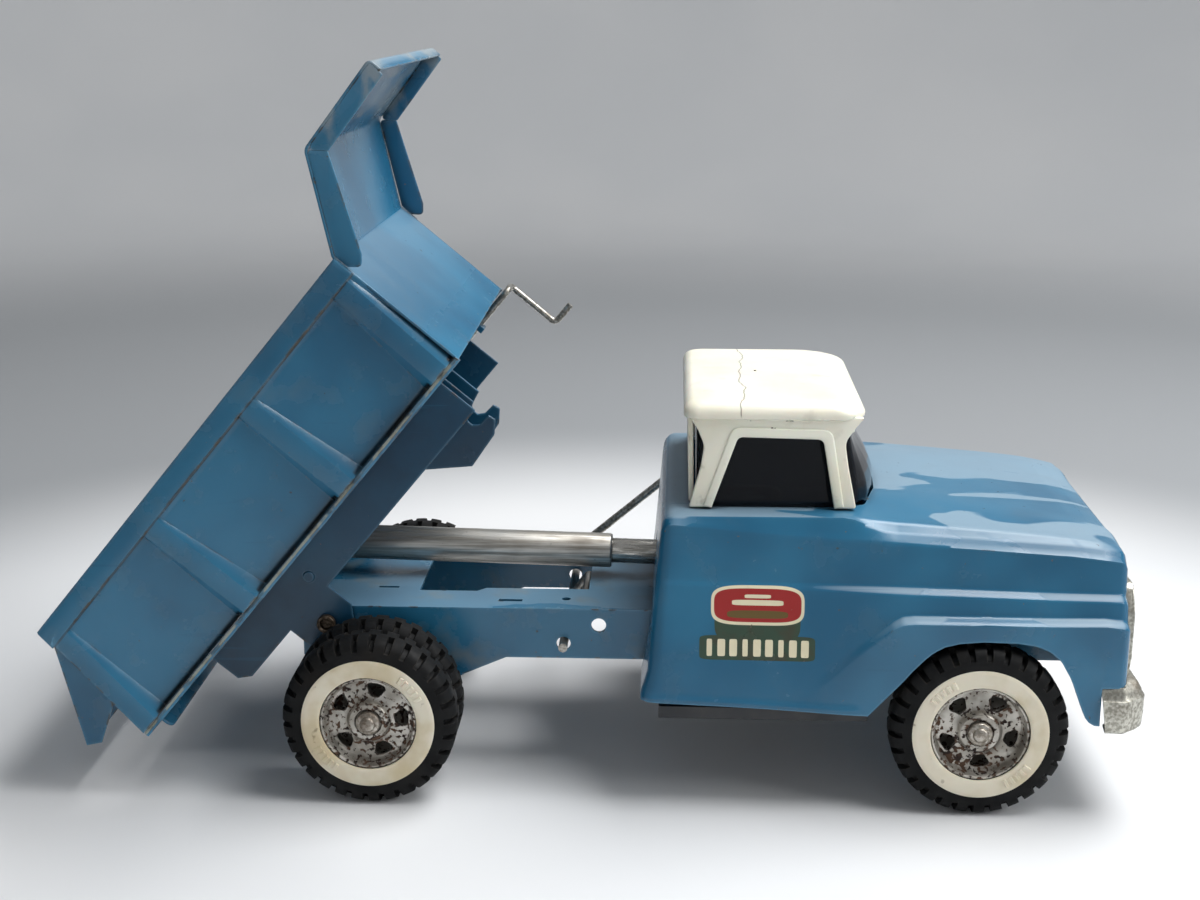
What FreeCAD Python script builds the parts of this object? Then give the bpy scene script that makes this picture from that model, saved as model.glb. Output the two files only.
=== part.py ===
import FreeCAD, Part
import math
import os
import re

import Sketcher
from FreeCAD import Placement, Rotation, Vector

# Pressed-steel toy dump truck with a damped tipping bed, as an assembly of separate pieces.
# Millimetres, +X forward, +Y to the truck's left, +Z up, ground at Z = 0. The bed is modelled
# level, about its pivot, and then tipped, so its outlines read in bed coordinates: x forward
# along the floor and z up from the pivot.

DIMENSIONS = {
    # wheels and axles
    "front_axle_x": 131.0,
    "wheelbase": 206.6,
    "axle_height": 30.0,
    "axle_radius": 2.0,
    "running_gap": 0.08,
    "tyre_radius": 30.0,
    "bead_radius": 16.6,
    "outer_tyre_face": 73.0,
    "outer_tyre_back": 58.0,
    "inner_tyre_face": 57.2,
    "inner_tyre_back": 43.5,
    "whitewall_radius": 22.9,
    "whitewall_depth": 1.6,
    "whitewall_proud": 0.4,
    "rim_gauge": 1.2,
    "rim_window_circle": 10.6,
    "rim_window_radius": 2.7,
    "hub_radius": 6.6,
    "cap_radius": 4.2,
    "cap_face": 75.0,
    # chassis frame
    "frame_half_width": 38.5,
    "frame_gauge": 1.2,
    "frame_top": 60.0,
    "frame_rear_x": -104.0,
    "frame_front_x": 176.0,
    "frame_belly": 41.5,
    "frame_axle_drop": 24.5,
    "well_rear_x": -64.5,
    "well_step_x": -43.5,
    "well_front_x": -3.0,
    "well_wide": 20.6,
    "well_narrow": 17.2,
    # cab
    "cab_rear_x": 21.0,
    "door_front_x": 82.0,
    "cab_gauge": 1.2,
    "sill_height": 37.5,
    "belt_height": 79.0,
    "cab_shoulder": 100.5,
    "cowl_x": 106.0,
    "nose_x": 180.0,
    "arch_top": 62.0,
    "roof_rear_x": 31.0,
    "roof_front_x": 93.0,
    "roof_half_width": 50.0,
    "eave_height": 133.0,
    "roof_top": 138.5,
    "roof_wall": 2.0,
    "glass_wall": 1.2,
    "glass_gap": 0.2,
    # bed, in bed coordinates
    "pivot_x": -95.0,
    "pivot_z": 54.2,
    "bed_tilt": 50.3,
    "bed_gauge": 1.0,
    "floor_under": 24.5,
    "rim_top": 75.5,
    "rim_band": 7.3,
    "bed_front": 112.0,
    "bed_rear_top": -54.5,
    "bed_rear_foot": -60.7,
    "bed_half_width": 71.5,
    "panel_top_y": 70.0,
    "panel_foot_y": 66.5,
    "rib_width": 7.0,
    "rear_lip": 5.5,
    "visor_bend_x": 133.5,
    "visor_bend_z": 103.2,
    "visor_front_x": 167.7,
    "visor_front_z": 104.8,
    "visor_half_width": 69.5,
    "rail_inner_y": 39.0,
    "rail_gauge": 1.0,
    "rail_front": 94.5,
    "rail_rear": -38.0,
    "rail_foot": 8.0,
    "ear_foot": -6.5,
    "ear_half": 11.0,
    "hook_plate_y": 7.9,
    "hook_gauge": 1.2,
    "pivot_radius": 2.0,
    # tailgate, in bed coordinates
    "gate_pin_x": -51.0,
    "gate_pin_z": 70.0,
    "gate_height": 43.3,
    "gate_top_y": 67.6,
    "gate_foot_y": 64.9,
    "gate_back": 3.5,
    "gate_open": 30.6,
    "gate_rake": 7.8,
    "gate_flange": 10.0,
    "gate_pin_radius": 1.4,
    # cylinder
    "anchor_x": 36.0,
    "anchor_z": 68.8,
    "tube_radius": 6.35,
    "tube_bore": 5.35,
    "rod_radius": 4.6,
    "eye_x": -100.8,
    "eye_z": 72.0,
    "eye_bore": 3.3,
    "pin_drop": 0.9,
    "tube_front": 31.2,
    "tube_rear": 127.0,
    # latch lever and tailgate rod
    "lever_x": -11.0,
    "lever_z": 47.0,
    "lever_radius": 1.6,
    "lever_side_y": 75.9,
    "crank_throw": 11.6,
    "crank_lean": 36.0,
    "latch_radius": 1.3,
    "latch_y": 62.0,
    "latch_side_y": 72.6,
    "latch_z": 22.3,
    "latch_rear": -62.5,
    "latch_front": 114.8,
    "latch_drop": 23.3,
}

doc = FreeCAD.newDocument("toy_dump_truck")
sheet = doc.addObject("Spreadsheet::Sheet", "Dims")
for row, (alias, size) in enumerate(DIMENSIONS.items(), start=1):
    sheet.set(f"A{row}", alias)
    sheet.set(f"B{row}", str(size))
    sheet.setAlias(f"B{row}", alias)
doc.recompute()

NODES = []


def bound(text):
    """The expression with each driving dimension's name pointed at the sheet."""
    return re.sub(r"[a-z_]+", lambda m: f"Dims.{m[0]}" if m[0] in DIMENSIONS else m[0], str(text))


def number(text):
    """The present value of an expression in the driving dimensions."""
    return float(sheet.evalExpression(bound(text)))


def new_body(label):
    body = doc.addObject("PartDesign::Body", label)
    body.Label = label
    NODES.append(body)
    return body


def new_sketch(body, role, offset=None):
    """A sketch on one of the body's origin planes, moved along the plane's normal by offset."""
    plane = next(item for item in body.Origin.OriginFeatures if item.Role == role)
    sketch = body.newObject("Sketcher::SketchObject", f"{body.Name}_sketch")
    sketch.AttachmentSupport = [(plane, "")]
    sketch.MapMode = "FlatFace"
    if offset is not None:
        sketch.setExpression(".AttachmentOffset.Base.z", bound(offset))
    return sketch


def add_polygon(sketch, corners):
    """A closed outline whose corners' coordinates are bound to the sheet."""
    values = [(number(x), number(y)) for x, y in corners]
    first = sketch.GeometryCount
    for i, (x, y) in enumerate(values):
        end_x, end_y = values[(i + 1) % len(values)]
        sketch.addGeometry(Part.LineSegment(Vector(x, y, 0), Vector(end_x, end_y, 0)))
    for i, (x, y) in enumerate(corners):
        after = first + (i + 1) % len(corners)
        sketch.addConstraint(Sketcher.Constraint("Coincident", first + i, 2, after, 1))
        for kind, text, value in (("DistanceX", x, values[i][0]), ("DistanceY", y, values[i][1])):
            index = sketch.addConstraint(Sketcher.Constraint(kind, -1, 1, first + i, 1, value))
            sketch.setExpression(f"Constraints[{index}]", bound(text))


def add_circle(sketch, x, y, radius):
    centre = Vector(number(x), number(y), 0)
    geometry = sketch.addGeometry(Part.Circle(centre, Vector(0, 0, 1), number(radius)))
    for kind, text, value in (("DistanceX", x, centre.x), ("DistanceY", y, centre.y)):
        index = sketch.addConstraint(Sketcher.Constraint(kind, -1, 1, geometry, 3, value))
        sketch.setExpression(f"Constraints[{index}]", bound(text))
    index = sketch.addConstraint(Sketcher.Constraint("Radius", geometry, number(radius)))
    sketch.setExpression(f"Constraints[{index}]", bound(radius))


def pad(body, sketch, length, symmetric=True):
    feature = body.newObject("PartDesign::Pad", f"{body.Name}_pad")
    feature.Profile = sketch
    feature.setExpression("Length", bound(length))
    feature.SideType = "Symmetric" if symmetric else "One side"
    body.Tip = feature
    return feature


def pocket(body, sketch, length):
    """A cut, which has to take something away."""
    doc.recompute()
    before = body.Shape.Volume
    feature = body.newObject("PartDesign::Pocket", f"{body.Name}_pocket")
    feature.Profile = sketch
    feature.setExpression("Length", bound(length))
    feature.SideType = "Symmetric"
    body.Tip = feature
    doc.recompute()
    if not body.Shape.Volume < before - 0.01:
        raise RuntimeError(f"{feature.Name} cuts nothing from {body.Label}")
    return feature


def revolve(body, corners, role="YZ_Plane"):
    """A solid of revolution about the sketch's first axis: corners are (along, radius)."""
    sketch = new_sketch(body, role)
    add_polygon(sketch, corners)
    feature = body.newObject("PartDesign::Revolution", f"{body.Name}_turned")
    feature.Profile = sketch
    feature.ReferenceAxis = (sketch, ["H_Axis"])
    feature.Angle = 360.0
    body.Tip = feature
    return feature


def polar_pattern(body, original, sketch, count):
    pattern = body.newObject("PartDesign::PolarPattern", f"{body.Name}_pattern")
    pattern.Originals = [original]
    pattern.Axis = (sketch, ["N_Axis"])
    pattern.Angle = 360.0
    pattern.Occurrences = count
    body.Tip = pattern


def loft(body, sections, role="YZ_Plane", cut=False):
    """A ruled loft through outlines that have the same number of corners."""
    kind = "SubtractiveLoft" if cut else "AdditiveLoft"
    sketches = []
    for offset, corners in sections:
        sketch = new_sketch(body, role, offset)
        add_polygon(sketch, corners)
        sketches.append(sketch)
    doc.recompute()
    feature = body.newObject(f"PartDesign::{kind}", f"{body.Name}_loft")
    feature.Profile = sketches[0]
    feature.Sections = sketches[1:]
    feature.Ruled = True
    body.Tip = feature
    doc.recompute()
    return feature


def place(item, x=0, y=0, z=0):
    for axis, text in zip("xyz", (x, y, z)):
        item.setExpression(f".Placement.Base.{axis}", bound(text))


def place_on_bed(item):
    """From level bed coordinates to the tipped bed's place."""
    item.Placement = Placement(Vector(), Rotation(Vector(0, -1, 0), number("bed_tilt")))
    place(item, "pivot_x", 0, "pivot_z")
    item.setExpression(".Placement.Rotation.Angle", bound("bed_tilt"))


def tilted_with_cylinder(item):
    """From a level pose, with the anchor pin at the origin, to the cylinder's line."""
    rise = math.atan2(number("eye_z - anchor_z"), number("anchor_x - eye_x"))
    item.Placement = Placement(Vector(), Rotation(Vector(0, 1, 0), math.degrees(rise)))
    place(item, "anchor_x", 0, "anchor_z")


def cross_rod(label, radius, half_length, x=0, z=0):
    """A plain round bar across the truck."""
    body = new_body(label)
    sketch = new_sketch(body, "XZ_Plane")
    add_circle(sketch, x, z, radius)
    pad(body, sketch, f"2 * {half_length}")
    return body


def end_rings(label, radius, bore, inner, outer, x, z):
    """Two like rings on one cross-wise axis, one each side of the truck, as one node."""
    body = new_body(label)
    ring = new_sketch(body, "XZ_Plane")
    add_circle(ring, x, z, radius)
    add_circle(ring, x, z, bore)
    pad(body, ring, f"2 * ({outer})")
    middle = new_sketch(body, "XZ_Plane")
    add_circle(middle, x, z, f"{radius} + 1")
    pocket(body, middle, f"2 * ({inner})")
    return body


def solids_node(label, shape):
    """A sub-part made with boolean or swept solids."""
    feature = doc.addObject("Part::Feature", label)
    feature.Label = label
    feature.Shape = shape
    NODES.append(feature)
    return feature


def bent_rod(points, radius, bend):
    """A round bar through the points, with every corner rounded to the bend radius."""
    edges = []
    start = points[0]
    for before, corner, after in zip(points, points[1:], points[2:]):
        inward = (before - corner).normalize()
        outward = (after - corner).normalize()
        half_angle = inward.getAngle(outward) / 2
        reach = bend / math.tan(half_angle)
        centre = corner + (inward + outward).normalize() * (bend / math.sin(half_angle))
        middle = centre + (corner - centre).normalize() * bend
        first, last = corner + inward * reach, corner + outward * reach
        edges += [Part.LineSegment(start, first).toShape(), Part.Arc(first, middle, last).toShape()]
        start = last
    edges.append(Part.LineSegment(start, points[-1]).toShape())
    path = Part.Wire(edges)
    section = Part.Wire(Part.Circle(points[0], points[1] - points[0], radius).toShape())
    return path.makePipeShell([section], True, False)


# ---------------------------------------------------------------- wheels

def tyre(label, face, back, recess):
    """A moulded tyre, turned about its axle; recess holds the whitewall ring."""
    body = new_body(label)
    corners = [
        (back, "bead_radius"), (back, "tyre_radius - 5"), (f"{back} + 1.6", "tyre_radius - 1.2"),
        (f"{back} + 3.6", "tyre_radius"), (f"{face} - 3.6", "tyre_radius"),
        (f"{face} - 1.4", "tyre_radius - 1.4"), (face, "tyre_radius - 5"), (face, "whitewall_radius"),
    ]
    if recess:
        corners += [(f"{face} - whitewall_depth", "whitewall_radius"),
                    (f"{face} - whitewall_depth", "bead_radius")]
    else:
        corners += [(face, "bead_radius")]
    revolve(body, corners)
    return body


def whitewall(label):
    body = new_body(label)
    face = "outer_tyre_face + whitewall_proud"
    revolve(body, [
        ("outer_tyre_face - whitewall_depth", "bead_radius"),
        ("outer_tyre_face - whitewall_depth", "whitewall_radius"),
        ("outer_tyre_face", "whitewall_radius"), (face, "whitewall_radius - 1"),
        (face, "bead_radius"),
    ])
    return body


def rim(label, face, back, bulge):
    """A pressed wheel: a drum under the tyre, a dished disc with five windows and a raised hub."""
    body = new_body(label)
    disc = f"{face} - 4.2"
    revolve(body, [
        (back, "bead_radius"), (face, "bead_radius"), (face, "bead_radius - rim_gauge"),
        (disc, "bead_radius - rim_gauge - 1"), (disc, "hub_radius"),
        (f"{face} + {bulge}", "hub_radius - 1"), (f"{face} + {bulge}", "axle_radius + running_gap"),
        (f"{disc} - rim_gauge", "axle_radius + running_gap"),
        (f"{disc} - rim_gauge", "bead_radius - rim_gauge"), (back, "bead_radius - rim_gauge"),
    ])
    doc.recompute()
    windows = new_sketch(body, "XZ_Plane")
    add_circle(windows, 0, "rim_window_circle", "rim_window_radius")
    cut = pocket(body, windows, "2 * cap_face")
    polar_pattern(body, cut, windows, 5)
    return body


def hub_cap(label, hub_face):
    """A domed cap pressed over the axle's end."""
    body = new_body(label)
    revolve(body, [
        (hub_face, "axle_radius + running_gap"), (hub_face, "cap_radius"),
        (f"{hub_face} + 1.2", "cap_radius"), ("cap_face - 0.5", "cap_radius - 1.4"),
        ("cap_face", "cap_radius - 3"), ("cap_face", 0), ("outer_tyre_face + 0.8", 0),
        ("outer_tyre_face + 0.8", "axle_radius + running_gap"),
    ])
    return body


def wheel(name, axle_x, side, inner):
    """One wheel's pieces, turned to the left (+1) or right (-1) side of the truck."""
    if inner:
        pieces = [
            tyre(f"{name}_tyre", "inner_tyre_face", "inner_tyre_back", False),
            rim(f"{name}_rim", "inner_tyre_face - 0.6", "inner_tyre_back + 0.6", -0.4),
        ]
    else:
        pieces = [
            tyre(f"{name}_tyre", "outer_tyre_face", "outer_tyre_back", True),
            whitewall(f"{name}_whitewall"),
            rim(f"{name}_rim", "outer_tyre_face - 0.6", "outer_tyre_back + 0.6", -0.6),
            hub_cap(f"{name}_hub_cap", "outer_tyre_face - 1.2"),
        ]
    for piece in pieces:
        if side < 0:
            piece.Placement = Placement(Vector(), Rotation(Vector(0, 0, 1), 180))
        place(piece, axle_x, 0, "axle_height")


REAR_AXLE_X = "front_axle_x - wheelbase"
for side_name, side in (("left", 1), ("right", -1)):
    wheel(f"front_{side_name}", "front_axle_x", side, False)
    wheel(f"rear_{side_name}_outer", REAR_AXLE_X, side, False)
    wheel(f"rear_{side_name}_inner", REAR_AXLE_X, side, True)

for label, axle_x in (("front_axle", "front_axle_x"), ("rear_axle", REAR_AXLE_X)):
    axle = cross_rod(label, "axle_radius", "outer_tyre_face")
    place(axle, axle_x, 0, "axle_height")


# ---------------------------------------------------------------- chassis

def chassis_frame():
    """The inverted channel that everything bolts to, deeper at each axle."""
    body = new_body("chassis_frame")
    side = new_sketch(body, "XZ_Plane")
    add_polygon(side, [
        ("frame_rear_x", "frame_top"), ("frame_front_x", "frame_top"),
        ("frame_front_x", "frame_belly + 2"), ("front_axle_x + 20", "frame_belly + 2"),
        ("front_axle_x + 11", "frame_axle_drop"), ("front_axle_x - 11", "frame_axle_drop"),
        ("front_axle_x - 20", "frame_belly"), (-31.5, "frame_belly"), (-46.5, "frame_belly - 6.5"),
        (f"{REAR_AXLE_X} + 11", "frame_axle_drop"), (f"{REAR_AXLE_X} - 11", "frame_axle_drop"),
        ("frame_rear_x", "frame_belly"),
    ])
    pad(body, side, "2 * frame_half_width")
    inside = new_sketch(body, "XZ_Plane")
    add_polygon(inside, [
        ("frame_rear_x - 5", 0), ("frame_front_x + 5", 0),
        ("frame_front_x + 5", "frame_top - frame_gauge"),
        ("frame_rear_x - 5", "frame_top - frame_gauge"),
    ])
    pocket(body, inside, "2 * (frame_half_width - frame_gauge)")
    well = new_sketch(body, "XY_Plane")
    add_polygon(well, [
        ("well_rear_x", "-well_wide"), ("well_step_x", "-well_wide"),
        ("well_step_x + 3", "-well_narrow"), ("well_front_x", "-well_narrow"),
        ("well_front_x", "well_narrow"), ("well_step_x + 3", "well_narrow"),
        ("well_step_x", "well_wide"), ("well_rear_x", "well_wide"),
    ])
    pocket(body, well, "4 * frame_top")
    slots = new_sketch(body, "XY_Plane")
    for side_sign in ("-", ""):
        for rear, front, inner, outer in ((-34.7, -26.2, 29, 31.2), (-80, -72.5, 16.6, 18.4)):
            add_polygon(slots, [
                (rear, f"{side_sign}{inner}"), (front, f"{side_sign}{inner}"),
                (front, f"{side_sign}{outer}"), (rear, f"{side_sign}{outer}"),
            ])
        add_circle(slots, "lever_x + 0.4", f"{side_sign}27.8", 1.6)
    pocket(body, slots, "4 * frame_top")
    holes = new_sketch(body, "XZ_Plane")
    add_circle(holes, "pivot_x", "pivot_z", "pivot_radius + running_gap")
    for axle_x in ("front_axle_x", REAR_AXLE_X):
        add_circle(holes, axle_x, "axle_height", "axle_radius")
    add_circle(holes, "lever_x", "lever_z", "lever_radius + 0.9")
    add_circle(holes, 1.5, 54, 2.6)
    pocket(body, holes, "4 * frame_half_width")
    return body


def anchor_bracket():
    """The U-shaped bracket on the frame, inside the cab, that holds the rod's anchor pin."""
    body = new_body("rod_anchor_bracket")
    side = new_sketch(body, "XZ_Plane")
    add_polygon(side, [
        ("anchor_x - 9", "frame_top"), ("anchor_x + 9", "frame_top"),
        ("anchor_x + 9", "frame_top + 3"), ("anchor_x + 4", "anchor_z + 5"),
        ("anchor_x - 4", "anchor_z + 5"), ("anchor_x - 9", "frame_top + 3"),
    ])
    pad(body, side, 14.4)
    inside = new_sketch(body, "XZ_Plane")
    add_polygon(inside, [
        ("anchor_x - 12", "frame_top + 1.2"), ("anchor_x + 12", "frame_top + 1.2"),
        ("anchor_x + 12", "anchor_z + 9"), ("anchor_x - 12", "anchor_z + 9"),
    ])
    pocket(body, inside, 12)
    hole = new_sketch(body, "XZ_Plane")
    add_circle(hole, "anchor_x", "anchor_z", 1.5)
    pocket(body, hole, 20)


def floor_pan():
    """The black pressed plate under the cab, with its long edges turned up."""
    body = new_body("floor_pan")
    section = new_sketch(body, "YZ_Plane", 23)
    add_polygon(section, [
        (-66, 35.5), (-66, 31), (66, 31), (66, 35.5), (64.8, 35.5), (64.8, 32.2),
        (-64.8, 32.2), (-64.8, 35.5),
    ])
    pad(body, section, 71, symmetric=False)


def front_bumper():
    """A plated channel bumper with its ends swept round."""
    body = new_body("front_bumper")
    plan = new_sketch(body, "XY_Plane", 31)
    add_polygon(plan, [
        (170, -71), (180, -71.5), (187, -66), (187, 66), (180, 71.5), (170, 71),
        (170, 69.4), (179, 69.6), (185, 65), (185, -65), (179, -69.6), (170, -69.4),
    ])
    pad(body, plan, 15, symmetric=False)


def grille():
    """A plated grille plate across the nose, with two headlamp bosses."""
    body = new_body("grille")
    face = new_sketch(body, "YZ_Plane", "nose_x + 0.2")
    add_polygon(face, [
        (-60, 46.5), (60, 46.5), (63, 54), (63, 70), (58, 79), (-58, 79), (-63, 70), (-63, 54),
    ])
    pad(body, face, 2.2, symmetric=False)
    lamps = new_sketch(body, "YZ_Plane", "nose_x + 2")
    for lamp_y in (-48, 48):
        add_circle(lamps, lamp_y, 64, 9)
    pad(body, lamps, 3, symmetric=False)


chassis_frame()
anchor_bracket()
floor_pan()
front_bumper()
grille()
cross_rod("rod_anchor_pin", 1.5, 8.5, "anchor_x", "anchor_z")
cross_rod("bed_pivot_rod", "pivot_radius", 41.4, "pivot_x", "pivot_z")

end_rings("pivot_rod_caps", 3.2, "pivot_radius", 40.3, 42.8, "pivot_x", "pivot_z")


# ---------------------------------------------------------------- cab

def mirrored(half):
    """A closed outline from its left half, given from the foot up."""
    return list(half) + [(f"-({y})", z) for y, z in reversed(half)]


def inset(half, wall, foot):
    """The same half outline moved in by the wall, with its foot carried down through the opening."""
    moved = [(f"{y} - {wall}", f"{z} - {wall}") for y, z in half[1:]]
    return [(f"{half[0][0]} - {wall}", f"{half[0][1]} - {foot}")] + moved


DOOR = [
    (69, "sill_height"), (67.5, "sill_height + 10.5"), (64.5, "belt_height - 11"),
    (62, "belt_height"), (60, "cab_shoulder"), (52, "cab_shoulder + 1"),
]
COWL = [(70.8, 36), (70.5, 56), (70, 69), (63, 77), (58, 97.5), (46, 99.5)]
WING = [(71, 36), (70.5, 56), (70.3, 69), (64, 76.6), (59, 92.3), (44, 96)]
HEADLAMP = [(70, 33), (69.8, 50), (69, 67), (65.5, 75.6), (60, 90.3), (46, 92.6)]
NOSE = [(64, 46), (64.5, 54), (64, 66.6), (61.5, 74.5), (54, 85), (46, 87)]


def cab_body():
    """Cab, wings and bonnet in one pressing, open below, with arches and a hole for the roof."""
    body = new_body("cab_body")
    loft(body, [
        ("cab_rear_x", mirrored(DOOR)), ("door_front_x", mirrored(DOOR)),
        ("cowl_x", mirrored(COWL)), ("front_axle_x", mirrored(WING)),
        ("nose_x - 8", mirrored(HEADLAMP)), ("nose_x", mirrored(NOSE)),
    ])
    loft(body, [
        (offset, mirrored(inset(half, "cab_gauge", 20)))
        for offset, half in (
            ("cab_rear_x + cab_gauge", DOOR), ("door_front_x", DOOR), ("cowl_x", COWL),
            ("front_axle_x", WING), ("nose_x - 8", HEADLAMP), ("nose_x - cab_gauge", NOSE),
        )
    ], cut=True)
    arch = new_sketch(body, "XZ_Plane")
    add_polygon(arch, [
        ("front_axle_x - 37.5", 20), ("front_axle_x - 37.5", 35.1), ("front_axle_x - 27.3", 46.4),
        ("front_axle_x - 19.4", 55.5), ("front_axle_x - 13.7", 59.8), ("front_axle_x", "arch_top"),
        ("front_axle_x + 21.5", "arch_top - 2.3"), ("front_axle_x + 29.4", 49.2),
        ("front_axle_x + 33.8", 37.8), ("front_axle_x + 35", 20),
    ])
    pocket(body, arch, 160)
    front_foot = new_sketch(body, "XZ_Plane")
    add_polygon(front_foot, [
        ("nose_x - 10.6", 20), ("nose_x + 5", 20), ("nose_x + 5", 47), ("nose_x - 10.6", 47),
    ])
    pocket(body, front_foot, 160)
    top = new_sketch(body, "XY_Plane")
    add_polygon(top, [
        ("roof_rear_x + 3", -46), ("roof_front_x - 9", -48.5), ("roof_front_x", -42),
        ("roof_front_x + 5", -24), ("roof_front_x + 7", 0), ("roof_front_x + 5", 24),
        ("roof_front_x", 42), ("roof_front_x - 9", 48.5), ("roof_rear_x + 3", 46),
    ])
    pocket(body, top, 220)
    back = new_sketch(body, "YZ_Plane", "cab_rear_x")
    add_circle(back, 0, 69.6, 7.6)
    pocket(body, back, 8)
    tunnel = new_sketch(body, "YZ_Plane", "cab_rear_x")
    add_polygon(tunnel, [
        ("-frame_half_width", 20), ("frame_half_width", 20), ("frame_half_width", "frame_top"),
        ("-frame_half_width", "frame_top"),
    ])
    pocket(body, tunnel, 8)


def roof_outline(rear, front, half_width, corner):
    """An eight-cornered plan of the roof, each corner cut off."""
    return [
        (rear, f"-({half_width} - {corner})"), (f"{rear} + {corner}", f"-({half_width})"),
        (f"{front} - {corner}", f"-({half_width})"), (front, f"-({half_width} - {corner})"),
        (front, f"{half_width} - {corner}"), (f"{front} - {corner}", half_width),
        (f"{rear} + {corner}", half_width), (rear, f"{half_width} - {corner}"),
    ]


def cab_roof():
    """The moulded roof with its pillars, open for the windows."""
    body = new_body("cab_roof")
    foot = "cab_shoulder + 1.1"

    def skin(wall):
        return [
            roof_outline(f"roof_rear_x + {wall}", f"roof_front_x - 4 - {wall}",
                         f"roof_half_width + 0.6 - {wall}", 6),
            roof_outline(f"roof_rear_x - 0.8 + {wall}", f"roof_front_x + 0.5 - {wall}",
                         f"roof_half_width - 2 - {wall}", 6),
            roof_outline(f"roof_rear_x + 4 + {wall}", f"roof_front_x - 6 - {wall}",
                         f"roof_half_width - 7 - {wall}", 6),
        ]

    loft(body, list(zip((foot, "eave_height", "roof_top"), skin("0"))), "XY_Plane")
    loft(body, list(zip((f"{foot} - 1", "eave_height - roof_wall", "roof_top - roof_wall"),
                        skin("roof_wall"))), "XY_Plane", cut=True)
    side_window = new_sketch(body, "XZ_Plane")
    add_polygon(side_window, [(40.3, 103.6), (81.5, 103.6), (77.3, 124.5), (49.6, 125.2)])
    pocket(body, side_window, 160)
    windscreen = new_sketch(body, "YZ_Plane", "roof_front_x")
    add_polygon(windscreen, [(-46, 90), (46, 90), (43, 126), (-43, 126)])
    pocket(body, windscreen, 20)
    rear_window = new_sketch(body, "YZ_Plane", "roof_rear_x")
    add_polygon(rear_window, [(-40, 103.6), (40, 103.6), (38, 123), (-38, 123)])
    pocket(body, rear_window, 12)


def cab_glazing():
    """One clear moulding: side and rear windows inside the roof, and a bowed windscreen."""
    body = new_body("cab_glazing")
    inset_by = "(roof_wall + glass_gap)"

    def band(rear, side, screen_side, bow, wall):
        half = [
            (f"{rear} + {wall}", f"{side} - 6 - {wall}"), (f"{rear} + 6", f"{side} - {wall}"),
            ("roof_front_x - 12.6", f"{side} - {wall}"),
            (f"roof_front_x - 9 - {wall}", f"{screen_side} - {wall}"),
            (f"roof_front_x - 1 - {wall}", f"{screen_side} - 1.6 - {wall}"),
            (f"roof_front_x + {bow} - 3 - {wall}", f"{screen_side} - 20 - {wall}"),
        ]
        return [(x, f"-({y})") for x, y in half] + [(x, y) for x, y in reversed(half)]

    def skin(wall):
        return [
            band(f"roof_rear_x + {inset_by}", f"roof_half_width + 0.4 - {inset_by}", 44.4, 8, wall),
            band(f"roof_rear_x - 0.6 + {inset_by}", f"roof_half_width - 1.7 - {inset_by}", 42.2, 0,
                 wall),
        ]

    heights = ("cab_shoulder + 1.3", "eave_height - 7.4")
    loft(body, list(zip(heights, skin("0"))), "XY_Plane")
    through = ("cab_shoulder + 1", "eave_height - 7")
    loft(body, list(zip(through, skin("glass_wall"))), "XY_Plane", cut=True)


cab_body()
cab_roof()
cab_glazing()


# ---------------------------------------------------------------- bed

RIBS = ((-51, -57), (1, 1), (54.5, 54.5), (108.4, 108.4))  # centre at the rim, centre at the foot
BAND_FOOT = "rim_top - rim_band"


def bed_box():
    """Floor, leaning side panels, hemmed rims and pressed ribs."""
    body = new_body("bed_box")
    side = new_sketch(body, "XZ_Plane")
    add_polygon(side, [
        ("bed_rear_foot", "floor_under"), ("bed_front", "floor_under"), ("bed_front", BAND_FOOT),
        ("bed_rear_top - 1", BAND_FOOT),
    ])
    pad(body, side, "2 * panel_top_y")
    for sign in ("-", ""):
        outside = new_sketch(body, "YZ_Plane")
        add_polygon(outside, [
            (f"{sign}panel_foot_y", "floor_under + bed_gauge"), (f"{sign}panel_top_y", BAND_FOOT),
            (f"{sign}80", BAND_FOOT), (f"{sign}80", "floor_under + bed_gauge"),
        ])
        pocket(body, outside, 400)
    rim = new_sketch(body, "XZ_Plane")
    add_polygon(rim, [
        ("bed_rear_top - 1", BAND_FOOT), ("bed_front", BAND_FOOT), ("bed_front", "rim_top"),
        ("bed_rear_top", "rim_top"),
    ])
    pad(body, rim, "2 * bed_half_width")
    for top, foot in RIBS:
        rib = new_sketch(body, "XZ_Plane")
        add_polygon(rib, [
            (f"{foot} - rib_width / 2", "floor_under"), (f"{foot} + rib_width / 2", "floor_under"),
            (f"{top} + rib_width / 2", BAND_FOOT), (f"{top} - rib_width / 2", BAND_FOOT),
        ])
        pad(body, rib, "2 * bed_half_width - 0.6")
    lip = new_sketch(body, "XZ_Plane")
    add_polygon(lip, [
        ("bed_rear_foot", "floor_under - rear_lip"),
        ("bed_rear_foot + bed_gauge", "floor_under - rear_lip"),
        ("bed_rear_foot + bed_gauge", "floor_under + 0.5"), ("bed_rear_foot", "floor_under + 0.5"),
    ])
    pad(body, lip, 112)
    cavity = new_sketch(body, "YZ_Plane")
    half = [
        ("panel_foot_y - bed_gauge", "floor_under + bed_gauge"),
        ("panel_top_y - bed_gauge", BAND_FOOT), ("panel_top_y - bed_gauge", "rim_top + 5"),
    ]
    add_polygon(cavity, mirrored(half))
    pocket(body, cavity, 400)
    return body


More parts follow.
